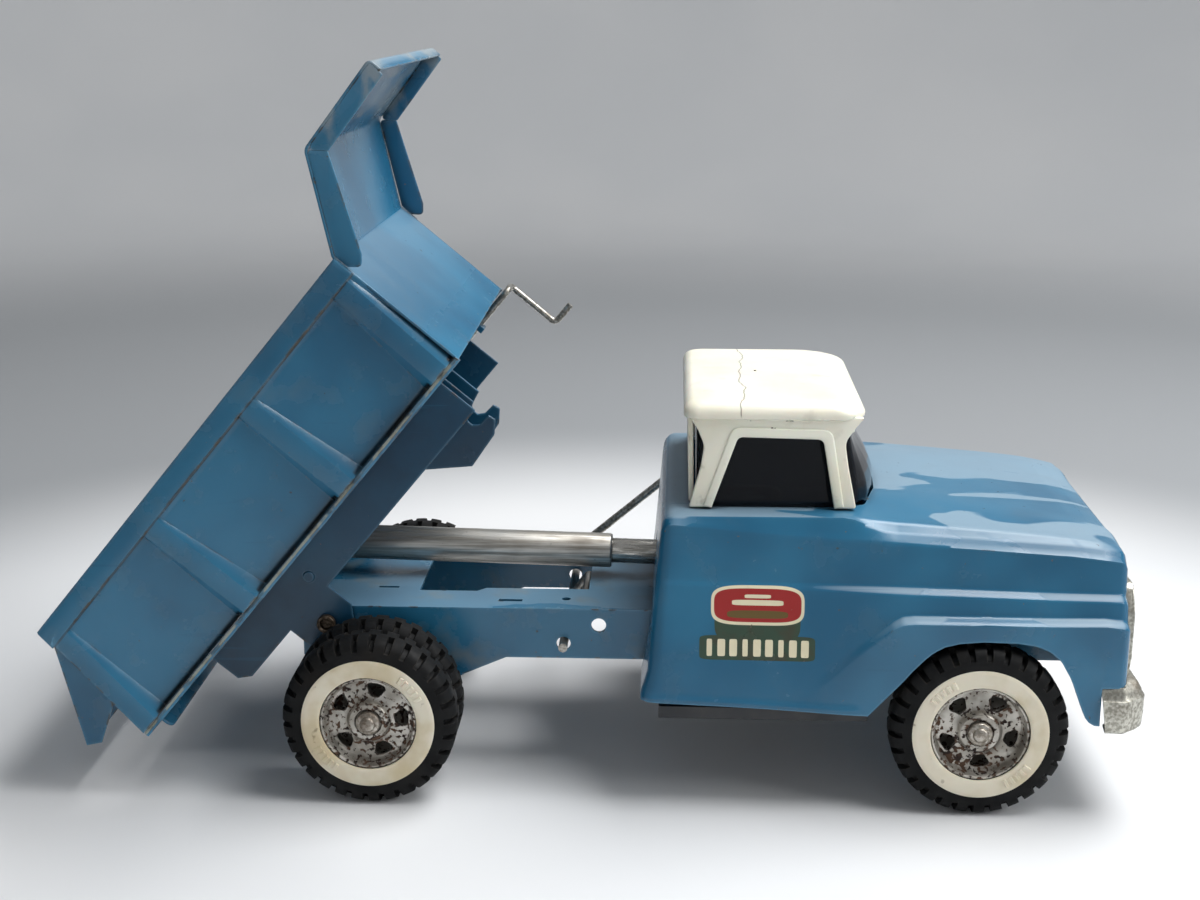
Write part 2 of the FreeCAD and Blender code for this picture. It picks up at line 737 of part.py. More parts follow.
def bed_front_panel():
    """The bed's front wall, carried up and over the cab as a flanged visor."""
    body = new_body("bed_front_panel")
    wall = new_sketch(body, "XZ_Plane")
    add_polygon(wall, [
        ("bed_front", "floor_under"), ("bed_front + bed_gauge", "floor_under"),
        ("bed_front + bed_gauge", "rim_top - 1"), ("visor_bend_x + 0.6", "visor_bend_z - 1.1"),
        ("visor_front_x - 1", "visor_front_z - 1.1"), ("visor_front_x - 1", "visor_front_z - 4"),
        ("visor_front_x", "visor_front_z - 4"), ("visor_front_x", "visor_front_z"),
        ("visor_bend_x", "visor_bend_z"), ("bed_front", "rim_top"),
    ])
    pad(body, wall, "2 * visor_half_width")
    flange = new_sketch(body, "XZ_Plane")
    add_polygon(flange, [
        ("bed_front + 0.5", "rim_top - 9"), ("bed_front + 0.5", "rim_top - 0.5"),
        ("visor_bend_x", "visor_bend_z - 0.1"), ("visor_front_x", "visor_front_z - 0.1"),
        ("visor_front_x", "visor_front_z - 4"), ("visor_bend_x + 3.3", "visor_bend_z - 5.4"),
        ("bed_front + 3", "rim_top - 9"),
    ])
    pad(body, flange, "2 * visor_half_width")
    under = new_sketch(body, "XZ_Plane")
    add_polygon(under, [
        ("bed_front + bed_gauge", 50), ("bed_front + bed_gauge", "rim_top - 1"),
        ("visor_bend_x + 0.6", "visor_bend_z - 1.1"), ("visor_front_x - 1", "visor_front_z - 1.1"),
        ("visor_front_x - 1", "visor_front_z - 15"), ("visor_bend_x + 6", "visor_bend_z - 15"),
        ("bed_front + 10", 50),
    ])
    pocket(body, under, "2 * (visor_half_width - bed_gauge)")
    return body


PIN_ARM = ("(eye_x - pivot_x)", "(eye_z - pin_drop - pivot_z)")
PIN_X = f"{PIN_ARM[0]} * cos(bed_tilt) + {PIN_ARM[1]} * sin(bed_tilt)"
PIN_Z = f"{PIN_ARM[1]} * cos(bed_tilt) - {PIN_ARM[0]} * sin(bed_tilt)"


def bed_subframe():
    """The folded channel under the floor, with an ear each side that hangs on the pivot rod."""
    body = new_body("bed_subframe")
    side = new_sketch(body, "XZ_Plane")
    add_polygon(side, [
        ("rail_rear", "floor_under"), ("rail_rear", "rail_foot + 3.5"),
        ("rail_rear + 4", "rail_foot"), ("-ear_half", "rail_foot"), ("-ear_half", "ear_foot + 4"),
        ("4 - ear_half", "ear_foot"), ("ear_half - 4", "ear_foot"), ("ear_half", "ear_foot + 4"),
        ("ear_half", "rail_foot"), ("rail_front", "rail_foot"), ("rail_front", "floor_under"),
    ])
    pad(body, side, "2 * (rail_inner_y + rail_gauge)")
    inside = new_sketch(body, "XZ_Plane")
    add_polygon(inside, [
        ("rail_rear - 5", -20), ("rail_front + 5", -20), ("rail_front + 5", "floor_under - rail_gauge"),
        ("rail_rear - 5", "floor_under - rail_gauge"),
    ])
    pocket(body, inside, "2 * rail_inner_y")
    holes = new_sketch(body, "XZ_Plane")
    add_circle(holes, 0, 0, "pivot_radius + running_gap")
    add_circle(holes, PIN_X, PIN_Z, "pivot_radius")
    pocket(body, holes, "4 * rail_inner_y")
    return body


def hook_bracket():
    """Two plates under the floor, each with the notch that the lever's crank locks into."""
    body = new_body("bed_hook_bracket")
    side = new_sketch(body, "XZ_Plane")
    nose = "rail_front - 5.9"
    add_polygon(side, [
        (48, "floor_under - rail_gauge"), (nose, "floor_under - rail_gauge"), (nose, 8.4),
        (f"{nose} - 3", 7.8), (f"{nose} - 6", 7), (f"{nose} - 7", 5.4), (f"{nose} - 7", 3.4),
        (f"{nose} - 5", 1.6), (f"{nose} - 0.4", 1.2), (nose, -1.5), (f"{nose} - 4.6", -4.9),
        (69.5, -6.2), (57.6, 5.8),
    ])
    pad(body, side, "2 * (hook_plate_y + hook_gauge)")
    gap = new_sketch(body, "XZ_Plane")
    add_polygon(gap, [(40, -10), (100, -10), (100, 30), (40, 30)])
    pocket(body, gap, "2 * hook_plate_y")
    return body


def latch_clips():
    """Folded clips under the floor that hold the tailgate rod."""
    body = new_body("latch_rod_clips")
    for middle in (-44, 96):
        clip = new_sketch(body, "YZ_Plane", middle)
        add_polygon(clip, [
            ("latch_y - 3", "latch_z - 2.6"), ("latch_y + 3", "latch_z - 2.6"),
            ("latch_y + 3", "floor_under"), ("latch_y - 3", "floor_under"),
        ])
        add_circle(clip, "latch_y", "latch_z", "latch_radius + running_gap")
        pad(body, clip, 2.4)
    return body


def latch_rod():
    """The bent wire that holds the tailgate shut: finger, shaft under the floor, and crank."""
    rear, front, y, z = (number(f"latch_{name}") for name in ("rear", "front", "y", "z"))
    side_y, drop = number("latch_side_y"), number("latch_z - latch_drop")
    points = [
        Vector(rear, y + 9, z), Vector(rear, y, z), Vector(front, y, z), Vector(front, side_y, z),
        Vector(front, side_y, drop), Vector(front + 9.6, side_y, drop),
    ]
    return solids_node("tailgate_latch_rod", bent_rod(points, number("latch_radius"), 2.2))


def tailgate():
    """The pressed gate, modelled hanging straight down from its pins, then swung open."""
    body = new_body("tailgate")
    plan = new_sketch(body, "YZ_Plane", "-gate_back")
    add_polygon(plan, mirrored([("gate_foot_y", "-gate_height"), ("gate_top_y", 3)]))
    pad(body, plan, "gate_flange + gate_back", symmetric=False)
    hollow = new_sketch(body, "YZ_Plane", "bed_gauge - gate_back + 25")
    add_polygon(hollow, mirrored([
        ("gate_foot_y - bed_gauge", "-gate_height - 1"), ("gate_top_y - bed_gauge", 4),
    ]))
    pocket(body, hollow, 50)
    edge = new_sketch(body, "XZ_Plane")
    add_polygon(edge, [
        (3, 5), ("gate_flange + 2", 5), ("gate_flange + 2", "-gate_height - 1"),
        (0, "-gate_height - 1"), (2, "-gate_height"), ("gate_flange", "13 - gate_height"),
        ("gate_flange", -14), (3, -4),
    ])
    pocket(body, edge, 200)
    hole = new_sketch(body, "XZ_Plane")
    add_circle(hole, 0, 0, "gate_pin_radius + running_gap")
    pocket(body, hole, 200)
    turn = "bed_tilt - gate_rake - gate_open"
    body.Placement = Placement(Vector(), Rotation(Vector(0, -1, 0), number(turn)))
    body.setExpression(".Placement.Rotation.Angle", bound(turn))
    gate_x = "gate_pin_x * cos(bed_tilt) - gate_pin_z * sin(bed_tilt)"
    gate_z = "gate_pin_x * sin(bed_tilt) + gate_pin_z * cos(bed_tilt)"
    place(body, f"pivot_x + {gate_x}", 0, f"pivot_z + {gate_z}")


ON_BED = [
    bed_box(), bed_front_panel(), bed_subframe(), hook_bracket(), latch_clips(), latch_rod(),
    cross_rod("cylinder_rear_pin", "pivot_radius", "(rail_inner_y + rail_gauge + 0.8)", PIN_X, PIN_Z),
    end_rings("tailgate_hinge_pins", "gate_pin_radius", 0.3, "gate_top_y - 3",
              "panel_top_y - bed_gauge", "gate_pin_x", "gate_pin_z"),
]
tailgate()


# ---------------------------------------------------------------- damping cylinder

EYE_REACH = "sqrt((anchor_x - eye_x)^2 + (eye_z - anchor_z)^2)"


def turned_along_x(label, corners):
    """A turned piece on the cylinder's line: corners are (distance behind the anchor, radius)."""
    body = new_body(label)
    revolve(body, [(f"-({along})", radius) for along, radius in corners], "XZ_Plane")
    return body


def cylinder_end_cap():
    body = turned_along_x("cylinder_end_cap", [
        ("tube_rear - 5", 0), ("tube_rear - 5", "tube_bore"), ("tube_rear", "tube_bore"),
        ("tube_rear", "tube_radius"), ("tube_rear + 3", "tube_radius"), ("tube_rear + 3", 0),
    ])
    lug = new_sketch(body, "XZ_Plane")
    add_polygon(lug, [
        ("-(tube_rear + 2)", "-5"), ("-(tube_rear + 2)", "5"), (f"-({EYE_REACH})", "5"),
        (f"-({EYE_REACH} + 5)", "3"), (f"-({EYE_REACH} + 5)", "-3"), (f"-({EYE_REACH})", "-5"),
    ])
    pad(body, lug, 7)
    eye = new_sketch(body, "XZ_Plane")
    add_circle(eye, f"-({EYE_REACH})", 0, "eye_bore")
    pocket(body, eye, 20)
    return body


def piston_rod():
    body = turned_along_x("piston_rod", [
        ("-rod_radius", 0), ("-rod_radius", "rod_radius - 1.5"), ("1.5 - rod_radius", "rod_radius"),
        (40, "rod_radius"), (40, 0),
    ])
    doc.recompute()
    hole = new_sketch(body, "XZ_Plane")
    add_circle(hole, 0, 0, "1.5 + running_gap")
    pocket(body, hole, 20)
    return body


ON_CYLINDER = [
    turned_along_x("cylinder_tube", [
        ("tube_front", "tube_bore"), ("tube_front", "tube_radius - 0.5"),
        ("tube_front + 0.5", "tube_radius"), ("tube_rear", "tube_radius"),
        ("tube_rear", "tube_bore"),
    ]),
    turned_along_x("cylinder_gland", [
        ("tube_front", "rod_radius + running_gap"), ("tube_front", "tube_bore"),
        ("tube_front + 6", "tube_bore"), ("tube_front + 6", "rod_radius + running_gap"),
    ]),
    cylinder_end_cap(),
    piston_rod(),
    turned_along_x("piston_head", [
        (40, 0), (40, "tube_bore - 0.15"), (43.5, "tube_bore - 0.15"), (43.5, "rod_radius"),
        (45.5, "rod_radius"), (45.5, "tube_bore - 0.15"), (48, "tube_bore - 0.15"), (48, 0),
    ]),
    turned_along_x("piston_seal", [
        (43.5, "rod_radius"), (43.5, "tube_bore - running_gap"),
        (45.5, "tube_bore - running_gap"), (45.5, "rod_radius"),
    ]),
]


# ---------------------------------------------------------------- latch lever

def latch_lever():
    """A bar through the frame: crank between the flanges, handle beside the cab."""
    x, z, side_y = number("lever_x"), number("lever_z"), number("lever_side_y")
    lean, throw = math.radians(number("crank_lean")), number("crank_throw")
    crank_x, crank_z = x + throw * math.sin(lean), z + throw * math.cos(lean)
    arm_y = number("hook_plate_y + hook_gauge") + 2.4
    points = [
        Vector(x, -43, z), Vector(x, -arm_y, z), Vector(crank_x, -arm_y, crank_z),
        Vector(crank_x, arm_y, crank_z), Vector(x, arm_y, z), Vector(x, side_y, z),
        Vector(x + 34, side_y, z + 28.5), Vector(x + 62, side_y, z + 33),
    ]
    solids_node("bed_latch_lever", bent_rod(points, number("lever_radius"), 2.6))


latch_lever()

# ---------------------------------------------------------------- finishing

doc.recompute()
for item in ON_BED:
    place_on_bed(item)
for item in ON_CYLINDER:
    tilted_with_cylinder(item)
doc.recompute()

for item in doc.Objects:
    if "Invalid" in item.State or "Error" in item.State:
        raise RuntimeError(f"{item.Label} did not rebuild: {item.State}")
for item in NODES:
    if item.Shape.isNull() or not item.Shape.isValid():
        raise RuntimeError(f"{item.Label} has no valid shape")

os.makedirs("parts", exist_ok=True)
for item in NODES:
    item.Shape.exportStep(os.path.join("parts", f"{item.Label}.step"))
print(f"{len(NODES)} sub-parts")
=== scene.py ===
"""Looks of the toy dump truck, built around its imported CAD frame.

Shapes are written in millimetres in the row frame (+X forward, +Y left, +Z up) and scaled once,
when a mesh is made. The bed's pieces are written in bed coordinates (u along the floor, w up
from the pivot) and turned to the tipped pose that the frame rests in.
"""
import bisect
import math

import bmesh
import bpy
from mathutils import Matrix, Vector

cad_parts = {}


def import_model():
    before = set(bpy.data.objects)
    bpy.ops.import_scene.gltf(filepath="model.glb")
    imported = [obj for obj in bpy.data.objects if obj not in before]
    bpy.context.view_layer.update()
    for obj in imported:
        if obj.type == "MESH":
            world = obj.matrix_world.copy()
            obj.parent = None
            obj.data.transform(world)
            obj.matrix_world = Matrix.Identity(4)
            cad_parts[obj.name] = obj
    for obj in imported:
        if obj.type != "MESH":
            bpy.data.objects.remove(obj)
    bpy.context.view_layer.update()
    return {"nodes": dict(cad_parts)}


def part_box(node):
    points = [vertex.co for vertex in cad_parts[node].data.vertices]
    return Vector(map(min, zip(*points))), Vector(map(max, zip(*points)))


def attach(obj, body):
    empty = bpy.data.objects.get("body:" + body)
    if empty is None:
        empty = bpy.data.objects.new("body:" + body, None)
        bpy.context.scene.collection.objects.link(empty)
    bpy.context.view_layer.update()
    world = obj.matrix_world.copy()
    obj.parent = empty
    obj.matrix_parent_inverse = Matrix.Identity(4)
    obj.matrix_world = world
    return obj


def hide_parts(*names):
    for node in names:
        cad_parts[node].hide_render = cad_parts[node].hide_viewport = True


MM = 0.001
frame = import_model()


# --- places read from the frame

def node_box(node):
    """A CAD node's corners in millimetres."""
    low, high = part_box(node)
    return low / MM, high / MM


def node_centre(node):
    low, high = node_box(node)
    return (low + high) / 2


pivot = node_centre("bed_pivot_rod")
front_axle = node_centre("front_axle")
rear_axle = node_centre("rear_axle")
cab_low, cab_high = node_box("cab_body")
roof_low, roof_high = node_box("cab_roof")
bumper_low, bumper_high = node_box("front_bumper")
grille_low, grille_high = node_box("grille")
anchor = node_centre("rod_anchor_pin")

BED_TILT = math.radians(50.3)
TILT_COS, TILT_SIN = math.cos(BED_TILT), math.sin(BED_TILT)


def on_bed(u, y, w):
    """From bed coordinates to the row frame, with the bed tipped as it rests."""
    return Vector((pivot.x + u * TILT_COS - w * TILT_SIN, y, pivot.z + u * TILT_SIN + w * TILT_COS))


# --- small maths

def blend(a, b, share):
    return a + (b - a) * share


def smooth_step(value, low, high):
    share = min(1.0, max(0.0, (value - low) / (high - low)))
    return share * share * (3 - 2 * share)


def along_line(points, x):
    """The height of a broken line, given as (x, height) pairs, at x."""
    index = bisect.bisect_right([p[0] for p in points], x)
    if index == 0:
        return points[0][1]
    if index == len(points):
        return points[-1][1]
    (x0, y0), (x1, y1) = points[index - 1], points[index]
    return blend(y0, y1, (x - x0) / (x1 - x0))


def steps(low, high, count):
    return [blend(low, high, i / count) for i in range(count + 1)]


def fillet(points, radius, arc_steps=4, closed=True):
    """A flat outline with its corners rounded; radius is one number, or one for each corner."""
    radii = radius if isinstance(radius, (list, tuple)) else [radius] * len(points)
    result = []
    for i, corner in enumerate(points):
        here = Vector(corner)
        if not closed and i in (0, len(points) - 1):
            result.append(tuple(here))
            continue
        before = (Vector(points[i - 1]) - here).normalized()
        after = (Vector(points[(i + 1) % len(points)]) - here).normalized()
        half = before.angle(after) / 2
        if radii[i] < 1e-6 or half > math.radians(89.7):
            result += [tuple(here)] * (1 if radii[i] < 1e-6 else arc_steps + 1)
            continue
        reach = radii[i] / math.tan(half)
        middle = here + (before + after).normalized() * (radii[i] / math.sin(half))
        first, last = here + before * reach - middle, here + after * reach - middle
        sweep = first.angle_signed(last)
        for step in range(arc_steps + 1):
            turn = -sweep * step / arc_steps
            spin_cos, spin_sin = math.cos(turn), math.sin(turn)
            result.append((middle.x + first.x * spin_cos - first.y * spin_sin,
                           middle.y + first.x * spin_sin + first.y * spin_cos))
    return result


def level_band(low_half, low, high_half, high):
    """A flat outline with level edges, as wide on the left as on the right."""
    return [(-low_half, low), (low_half, low), (high_half, high), (-high_half, high)]


# --- mesh helpers

def add_object(name, data):
    """A new object in the scene, of a mesh, a curve, a light or a camera."""
    obj = bpy.data.objects.new(name, data)
    bpy.context.scene.collection.objects.link(obj)
    return obj


def mesh_object(name, points, faces, sharp_angle=35):
    """An object from points in millimetres, shaded smooth except at sharp edges."""
    mesh = bpy.data.meshes.new(name)
    mesh.from_pydata([tuple(Vector(p) * MM) for p in points], [], faces)
    obj = add_object(name, mesh)
    tidy_mesh(obj, sharp_angle)
    return obj


def tidy_mesh(obj, sharp_angle=35):
    """Merges doubled points, turns normals outward and sets the smooth shading."""
    work = bmesh.new()
    work.from_mesh(obj.data)
    bmesh.ops.remove_doubles(work, verts=work.verts, dist=1e-6)
    bmesh.ops.dissolve_degenerate(work, edges=work.edges, dist=1e-7)
    bmesh.ops.recalc_face_normals(work, faces=work.faces)
    work.to_mesh(obj.data)
    work.free()
    obj.data.shade_smooth()
    obj.data.set_sharp_from_angle(angle=math.radians(sharp_angle))


def grid_faces(rows, columns, close_columns=False):
    """Quads between rows of points, each row columns long."""
    faces = []
    last = columns if close_columns else columns - 1
    for i in range(rows - 1):
        for j in range(last):
            a, b = i * columns + j, i * columns + (j + 1) % columns
            faces.append((a, b, b + columns, a + columns))
    return faces


def grid_object(name, rows, close_columns=False, sharp_angle=35):
    points = [p for row in rows for p in row]
    return mesh_object(name, points, grid_faces(len(rows), len(rows[0]), close_columns), sharp_angle)


def capped_object(name, rows, sharp_angle=35):
    """A closed solid from rings of points, with a face over each end."""
    points = [p for row in rows for p in row]
    count, total = len(rows[0]), len(points)
    faces = grid_faces(len(rows), count, True)
    faces += [tuple(range(count)), tuple(range(total - count, total))]
    return mesh_object(name, points, faces, sharp_angle)


def bake_modifiers(obj):
    """Applies the object's modifiers to its mesh."""
    evaluated = obj.evaluated_get(bpy.context.evaluated_depsgraph_get())
    mesh = bpy.data.meshes.new_from_object(evaluated)
    obj.modifiers.clear()
    obj.data = mesh


def cut_out(obj, cutter):
    """Cuts one object out of another, and removes it."""
    cut = obj.modifiers.new("cut", "BOOLEAN")
    cut.object = cutter
    cut.solver = "EXACT"
    bake_modifiers(obj)
    bpy.data.objects.remove(cutter)


def thicken(obj, thickness, offset=-1.0, even=True):
    shell = obj.modifiers.new("sheet", "SOLIDIFY")
    shell.thickness = thickness * MM
    shell.offset = offset
    shell.use_even_offset = even


def round_edges(obj, width, segments=2, angle=28):
    edges = obj.modifiers.new("edges", "BEVEL")
    edges.width = width * MM
    edges.segments = segments
    edges.limit_method = "ANGLE"
    edges.angle_limit = math.radians(angle)
    edges.harden_normals = True


def join(objects, name):
    """One object from several, each with its modifiers applied."""
    work = bmesh.new()
    for obj in objects:
        bake_modifiers(obj)
        work.from_mesh(obj.data)
        bpy.data.objects.remove(obj)
    mesh = bpy.data.meshes.new(name)
    work.to_mesh(mesh)
    work.free()
    return add_object(name, mesh)


def plate(name, outline, thickness, place, holes=(), edge=0.2):
    """A flat sheet cut to an outline, with round edges; place turns (a, b, depth) into a point."""
    curve = bpy.data.curves.new(name, "CURVE")
    curve.dimensions = "2D"
    curve.fill_mode = "BOTH"
    curve.extrude = (thickness / 2 - edge) * MM
    curve.bevel_depth = edge * MM
    curve.bevel_resolution = 2
    curve.offset = -edge * MM
    for loop in (outline, *holes):
        spline = curve.splines.new("POLY")
        spline.points.add(len(loop) - 1)
        for point, (a, b) in zip(spline.points, loop):
            point.co = (a * MM, b * MM, 0, 1)
        spline.use_cyclic_u = True
    obj = add_object(name, curve)
    bpy.context.view_layer.update()
    mesh = bpy.data.meshes.new_from_object(obj.evaluated_get(bpy.context.evaluated_depsgraph_get()))
    for vertex in mesh.vertices:
        a, b, depth = vertex.co / MM
        vertex.co = Vector(place(a, b, depth)) * MM
    bpy.data.objects.remove(obj)
    flat = add_object(name, mesh)
    tidy_mesh(flat)
    return flat


def on_wheel(axle, side, out, radius, turn):
    """A point on a wheel: out is measured from the truck's middle, turn about the axle."""
    return (axle.x + radius * math.cos(turn), side * out, axle.z + radius * math.sin(turn))


def ring_points(profile, centre, side, turns):
    """A turned surface about a cross-wise axis: profile is (distance outward, radius) pairs."""
    return [[on_wheel(centre, side, out, radius, turn) for turn in turns] for out, radius in profile]


def circle(count, start=0.0):
    return [start + 2 * math.pi * i / count for i in range(count)]


def finish_piece(obj, material, body, slot, *nodes):
    """Gives a piece its material and its body, and hides the CAD nodes that it stands for; slot is not
    used.
    """
    obj.data.materials.clear()
    obj.data.materials.append(material)
    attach(obj, body)
    if nodes:
        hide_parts(*nodes)
    return obj


# --- materials

def srgb(red, green, blue):
    """A colour given as 0 to 255, as linear light."""
    def linear(value):
        value /= 255
        return value / 12.92 if value <= 0.04045 else ((value + 0.055) / 1.055) ** 2.4
    return (linear(red), linear(green), linear(blue), 1.0)


class Graph:
    """A material's nodes. An input that is a socket is linked, and any other is set."""

    def __init__(self, name, **settings):
        self.material = bpy.data.materials.new(name)
        self.material.use_nodes = True
        self.tree = self.material.node_tree
        self.shader = self.tree.nodes["Principled BSDF"]
        coordinates = self.tree.nodes.new("ShaderNodeTexCoord")
        self.place, self.facing = coordinates.outputs["Object"], coordinates.outputs["Normal"]
        for key, value in settings.items():
            self.feed(self.shader.inputs[key.replace("_", " ")], value)

    def feed(self, socket, value):
        if isinstance(value, bpy.types.NodeSocket):
            self.tree.links.new(value, socket)
        else:
            socket.default_value = value

    def node(self, kind, inputs, **settings):
        node = self.tree.nodes.new(kind)
        for key, value in settings.items():
            setattr(node, key, value)
        for key, value in inputs.items():
            self.feed(node.inputs[key], value)
        return node

    def noise(self, scale, detail=3.0, stretch=None, distortion=0.0, seed=0.0):
        """Noise with about this many features to the metre."""
        place = self.place
        if stretch or seed:
            place = self.node("ShaderNodeMapping", {
                "Vector": self.place, "Location": (seed, seed * 0.7, seed * 1.3),
                "Scale": stretch or (1, 1, 1)}).outputs[0]
        return self.node("ShaderNodeTexNoise", {
            "Vector": place, "Scale": scale, "Detail": detail, "Distortion": distortion,
        }).outputs["Fac"]

    def ramp(self, value, low, high, to_low=0.0, to_high=1.0):
        return self.node("ShaderNodeMapRange", {
            "Value": value, "From Min": low, "From Max": high, "To Min": to_low, "To Max": to_high,
        }, interpolation_type="SMOOTHSTEP").outputs[0]

    def math(self, operation, first, second=0.0):
        node = self.tree.nodes.new("ShaderNodeMath")
        node.operation = operation
        self.feed(node.inputs[0], first)
        self.feed(node.inputs[1], second)
        return node.outputs[0]

    def times(self, first, second):
        return self.math("MULTIPLY", first, second)

    def plus(self, first, second):
        return self.math("ADD", first, second)

    def minus(self, first, second):
        return self.math("SUBTRACT", first, second)

    def mix(self, share, first, second):
        node = self.node("ShaderNodeMix", {}, data_type="RGBA")
        self.feed(node.inputs[0], share)
        self.feed(node.inputs[6], first)
        self.feed(node.inputs[7], second)
        return node.outputs[2]

    def axis(self, letter, vector=None):
        parts = self.node("ShaderNodeSeparateXYZ", {"Vector": vector or self.place})
        return parts.outputs[letter]

    def crevice(self, reach, low=0.35, high=0.8):
        """How deep a point lies in a corner or a gap, from 0 to 1."""
        near = self.node("ShaderNodeAmbientOcclusion", {"Distance": reach * MM}, samples=6)
        return self.ramp(near.outputs["AO"], low, high, 1.0, 0.0)

    def edges(self, radius, low=0.02, high=0.2):
        """How close a point is to a sharp edge, from 0 to 1."""
        rounded = self.node("ShaderNodeBevel", {"Radius": radius * MM}, samples=6).outputs[0]
        true = self.node("ShaderNodeNewGeometry", {}).outputs["Normal"]
        same = self.node("ShaderNodeVectorMath", {0: rounded, 1: true}, operation="DOT_PRODUCT")
        return self.ramp(self.minus(1.0, same.outputs["Value"]), low, high)

    def bump(self, *layers):
        """Bumps from (height, depth in millimetres) pairs, laid on each other."""
        normal = None
        for height, depth in layers:
            inputs = {"Height": height, "Strength": 1.0, "Distance": depth * MM}
            if normal:
                inputs["Normal"] = normal
            normal = self.node("ShaderNodeBump", inputs).outputs[0]
        self.feed(self.shader.inputs["Normal"], normal)

    def finish(self, colour, roughness, metallic=None):
        self.feed(self.shader.inputs["Base Color"], colour)
        self.feed(self.shader.inputs["Roughness"], roughness)
        if metallic is not None:
            self.feed(self.shader.inputs["Metallic"], metallic)
        return self.material


PAINT = srgb(39, 109, 143)
PAINT_DEEP = srgb(29, 92, 125)
FILM = srgb(132, 156, 172)
RUST = srgb(92, 76, 50)
RUST_DARK = srgb(44, 38, 30)
DUST = srgb(128, 124, 108)
# painted shade: a dark teal mixed into crevices, and into the line and gap by the bed's rim and hem
PAINTED_SHADE = srgb(12, 20, 26)
# painted highlight: the pale blue that sharp edges are lightened towards
EDGE_HIGHLIGHT = srgb(116, 164, 190)


def enamel(name, film=0.35, grime=0.25, chips=0.35, coat=0.2, clean=0.1, marks=None):
    """Old blue enamel: a dull film on what faces up, dust, painted shade in crevices, a painted highlight
    along sharp edges, and rust where edges are chipped.
    """
    g = Graph(name, Coat_Weight=coat, Coat_Roughness=0.16, IOR=1.5)
    colour = g.mix(g.ramp(g.noise(22, 2), 0.35, 0.65), PAINT, PAINT_DEEP)
    upward = g.ramp(g.axis("Z", g.facing), 0.6, 0.93)
    blotches = g.ramp(g.noise(21, 3.0, (0.55, 1.0, 1.0), 0.6, seed=3.1), 0.535, 0.555)
    film_share = g.times(upward, g.ramp(blotches, 0, 1, film, clean * film))
    colour = g.mix(film_share, colour, FILM)
    dirt = g.times(g.ramp(g.noise(75, 5, seed=1.7), 0.5, 0.75), grime)
    colour = g.mix(dirt, colour, DUST)
    # painted shade: darker in crevices and corners, where occlusion finds them
    colour = g.mix(g.times(g.crevice(6.0), 0.85), colour, PAINTED_SHADE)
    if marks:
        colour = marks(g, colour)
    edges = g.edges(1.5, 0.012, 0.13)
    # painted highlight: sharp edges are lightened a little
    colour = g.mix(g.times(edges, 0.3), colour, EDGE_HIGHLIGHT)
    specks = g.ramp(g.noise(420, 3, seed=5.0), 0.73, 0.76)
    reach = 0.68 - chips * 0.2
    worn = g.times(edges, g.ramp(g.noise(170, 4, seed=2.2), reach, reach + 0.02))
    chip = g.math("MAXIMUM", worn, g.times(specks, 0.8))
    rust = g.mix(g.ramp(g.noise(330, 2, seed=8.0), 0.4, 0.6), RUST_DARK, RUST)
    scratches = g.ramp(g.noise(260, 2, (0.05, 1.0, 1.3), 0.2, seed=6.0), 0.70, 0.73)
    colour = g.mix(g.times(scratches, 0.35), colour, PAINT_DEEP)
    colour = g.mix(chip, colour, rust)
    rough = g.plus(g.ramp(film_share, 0.0, 0.4, 0.26, 0.5), g.times(dirt, 0.5))
    rough = g.plus(rough, g.times(chip, 0.35))
    g.bump((g.noise(38, 2, seed=4.0), 0.12), (g.noise(900, 2), 0.006),
           (g.minus(1.0, chip), 0.05))
    return g.finish(colour, rough)


def bed_height(g):
    """A point's height in bed coordinates, in metres."""
    run = g.times(g.minus(g.axis("X"), pivot.x * MM), -TILT_SIN)
    rise = g.times(g.minus(g.axis("Z"), pivot.z * MM), TILT_COS)
    return g.plus(run, rise)


def between(g, value, low, high, soft):
    """1 for a value from low to high, in millimetres, and 0 outside."""
    return g.times(g.ramp(value, (low - soft) * MM, low * MM),
                  g.ramp(value, high * MM, (high + soft) * MM, 1.0, 0.0))


def bed_marks(g, colour):
    """Painted shade in a thin line under the rim band and in the gap over the floor's hem, and bare metal
    along the hem.
    """
    height, reach = bed_height(g), g.math("ABSOLUTE", g.axis("Y"))
    patchy = g.ramp(g.noise(60, 4, seed=12.0), 0.3, 0.6, 0.55, 0.95)
    # painted shadow: a thin dark line under the proud rim band
    line = g.times(between(g, height, 67.5, 67.95, 0.3), g.ramp(reach, 0.0655, 0.066))
    colour = g.mix(g.times(line, patchy), colour, PAINTED_SHADE)
    # painted shade: the gap between the side panel's foot and the floor's hem
    gap = g.times(between(g, height, 25.6, 26.9, 1.2), between(g, reach, 65.0, 69.2, 0.5))
    colour = g.mix(g.times(gap, patchy), colour, PAINTED_SHADE)
    hem = g.times(between(g, height, 24.9, 25.9, 0.2), g.ramp(reach, 0.0696, 0.0700))
    bare = g.times(hem, g.ramp(g.noise(120, 4, (1, 1, 1), seed=13.0), 0.42, 0.5, 0.15, 0.85))
    return g.mix(bare, colour, srgb(176, 176, 158))


def visor_marks(g, colour):
    """Scuffs down to pale primer on the visor that leans over the cab."""
    high_up = g.ramp(g.axis("Z"), 0.219, 0.230)
    rubbed = g.ramp(g.noise(90, 6, (1.0, 0.3, 0.6), 0.3, seed=14.0), 0.44, 0.62)
    return g.mix(g.times(g.times(high_up, rubbed), 0.6), colour,
                 srgb(150, 154, 152))


def inside(g, across, up, centre, half, power):
    """1 within a rounded rectangle on the door, given in millimetres, and 0 outside it."""
    def share(value, middle, reach):
        offset = g.math("DIVIDE", g.minus(value, middle * MM), reach * MM)
        return g.math("POWER", g.math("ABSOLUTE", offset), power)
    total = g.plus(share(across, centre[0], half[0]), share(up, centre[1], half[1]))
    return g.ramp(total, 0.98, 1.03, 1.0, 0.0)


DECAL_X, DECAL_Z = 56.0, 71.6


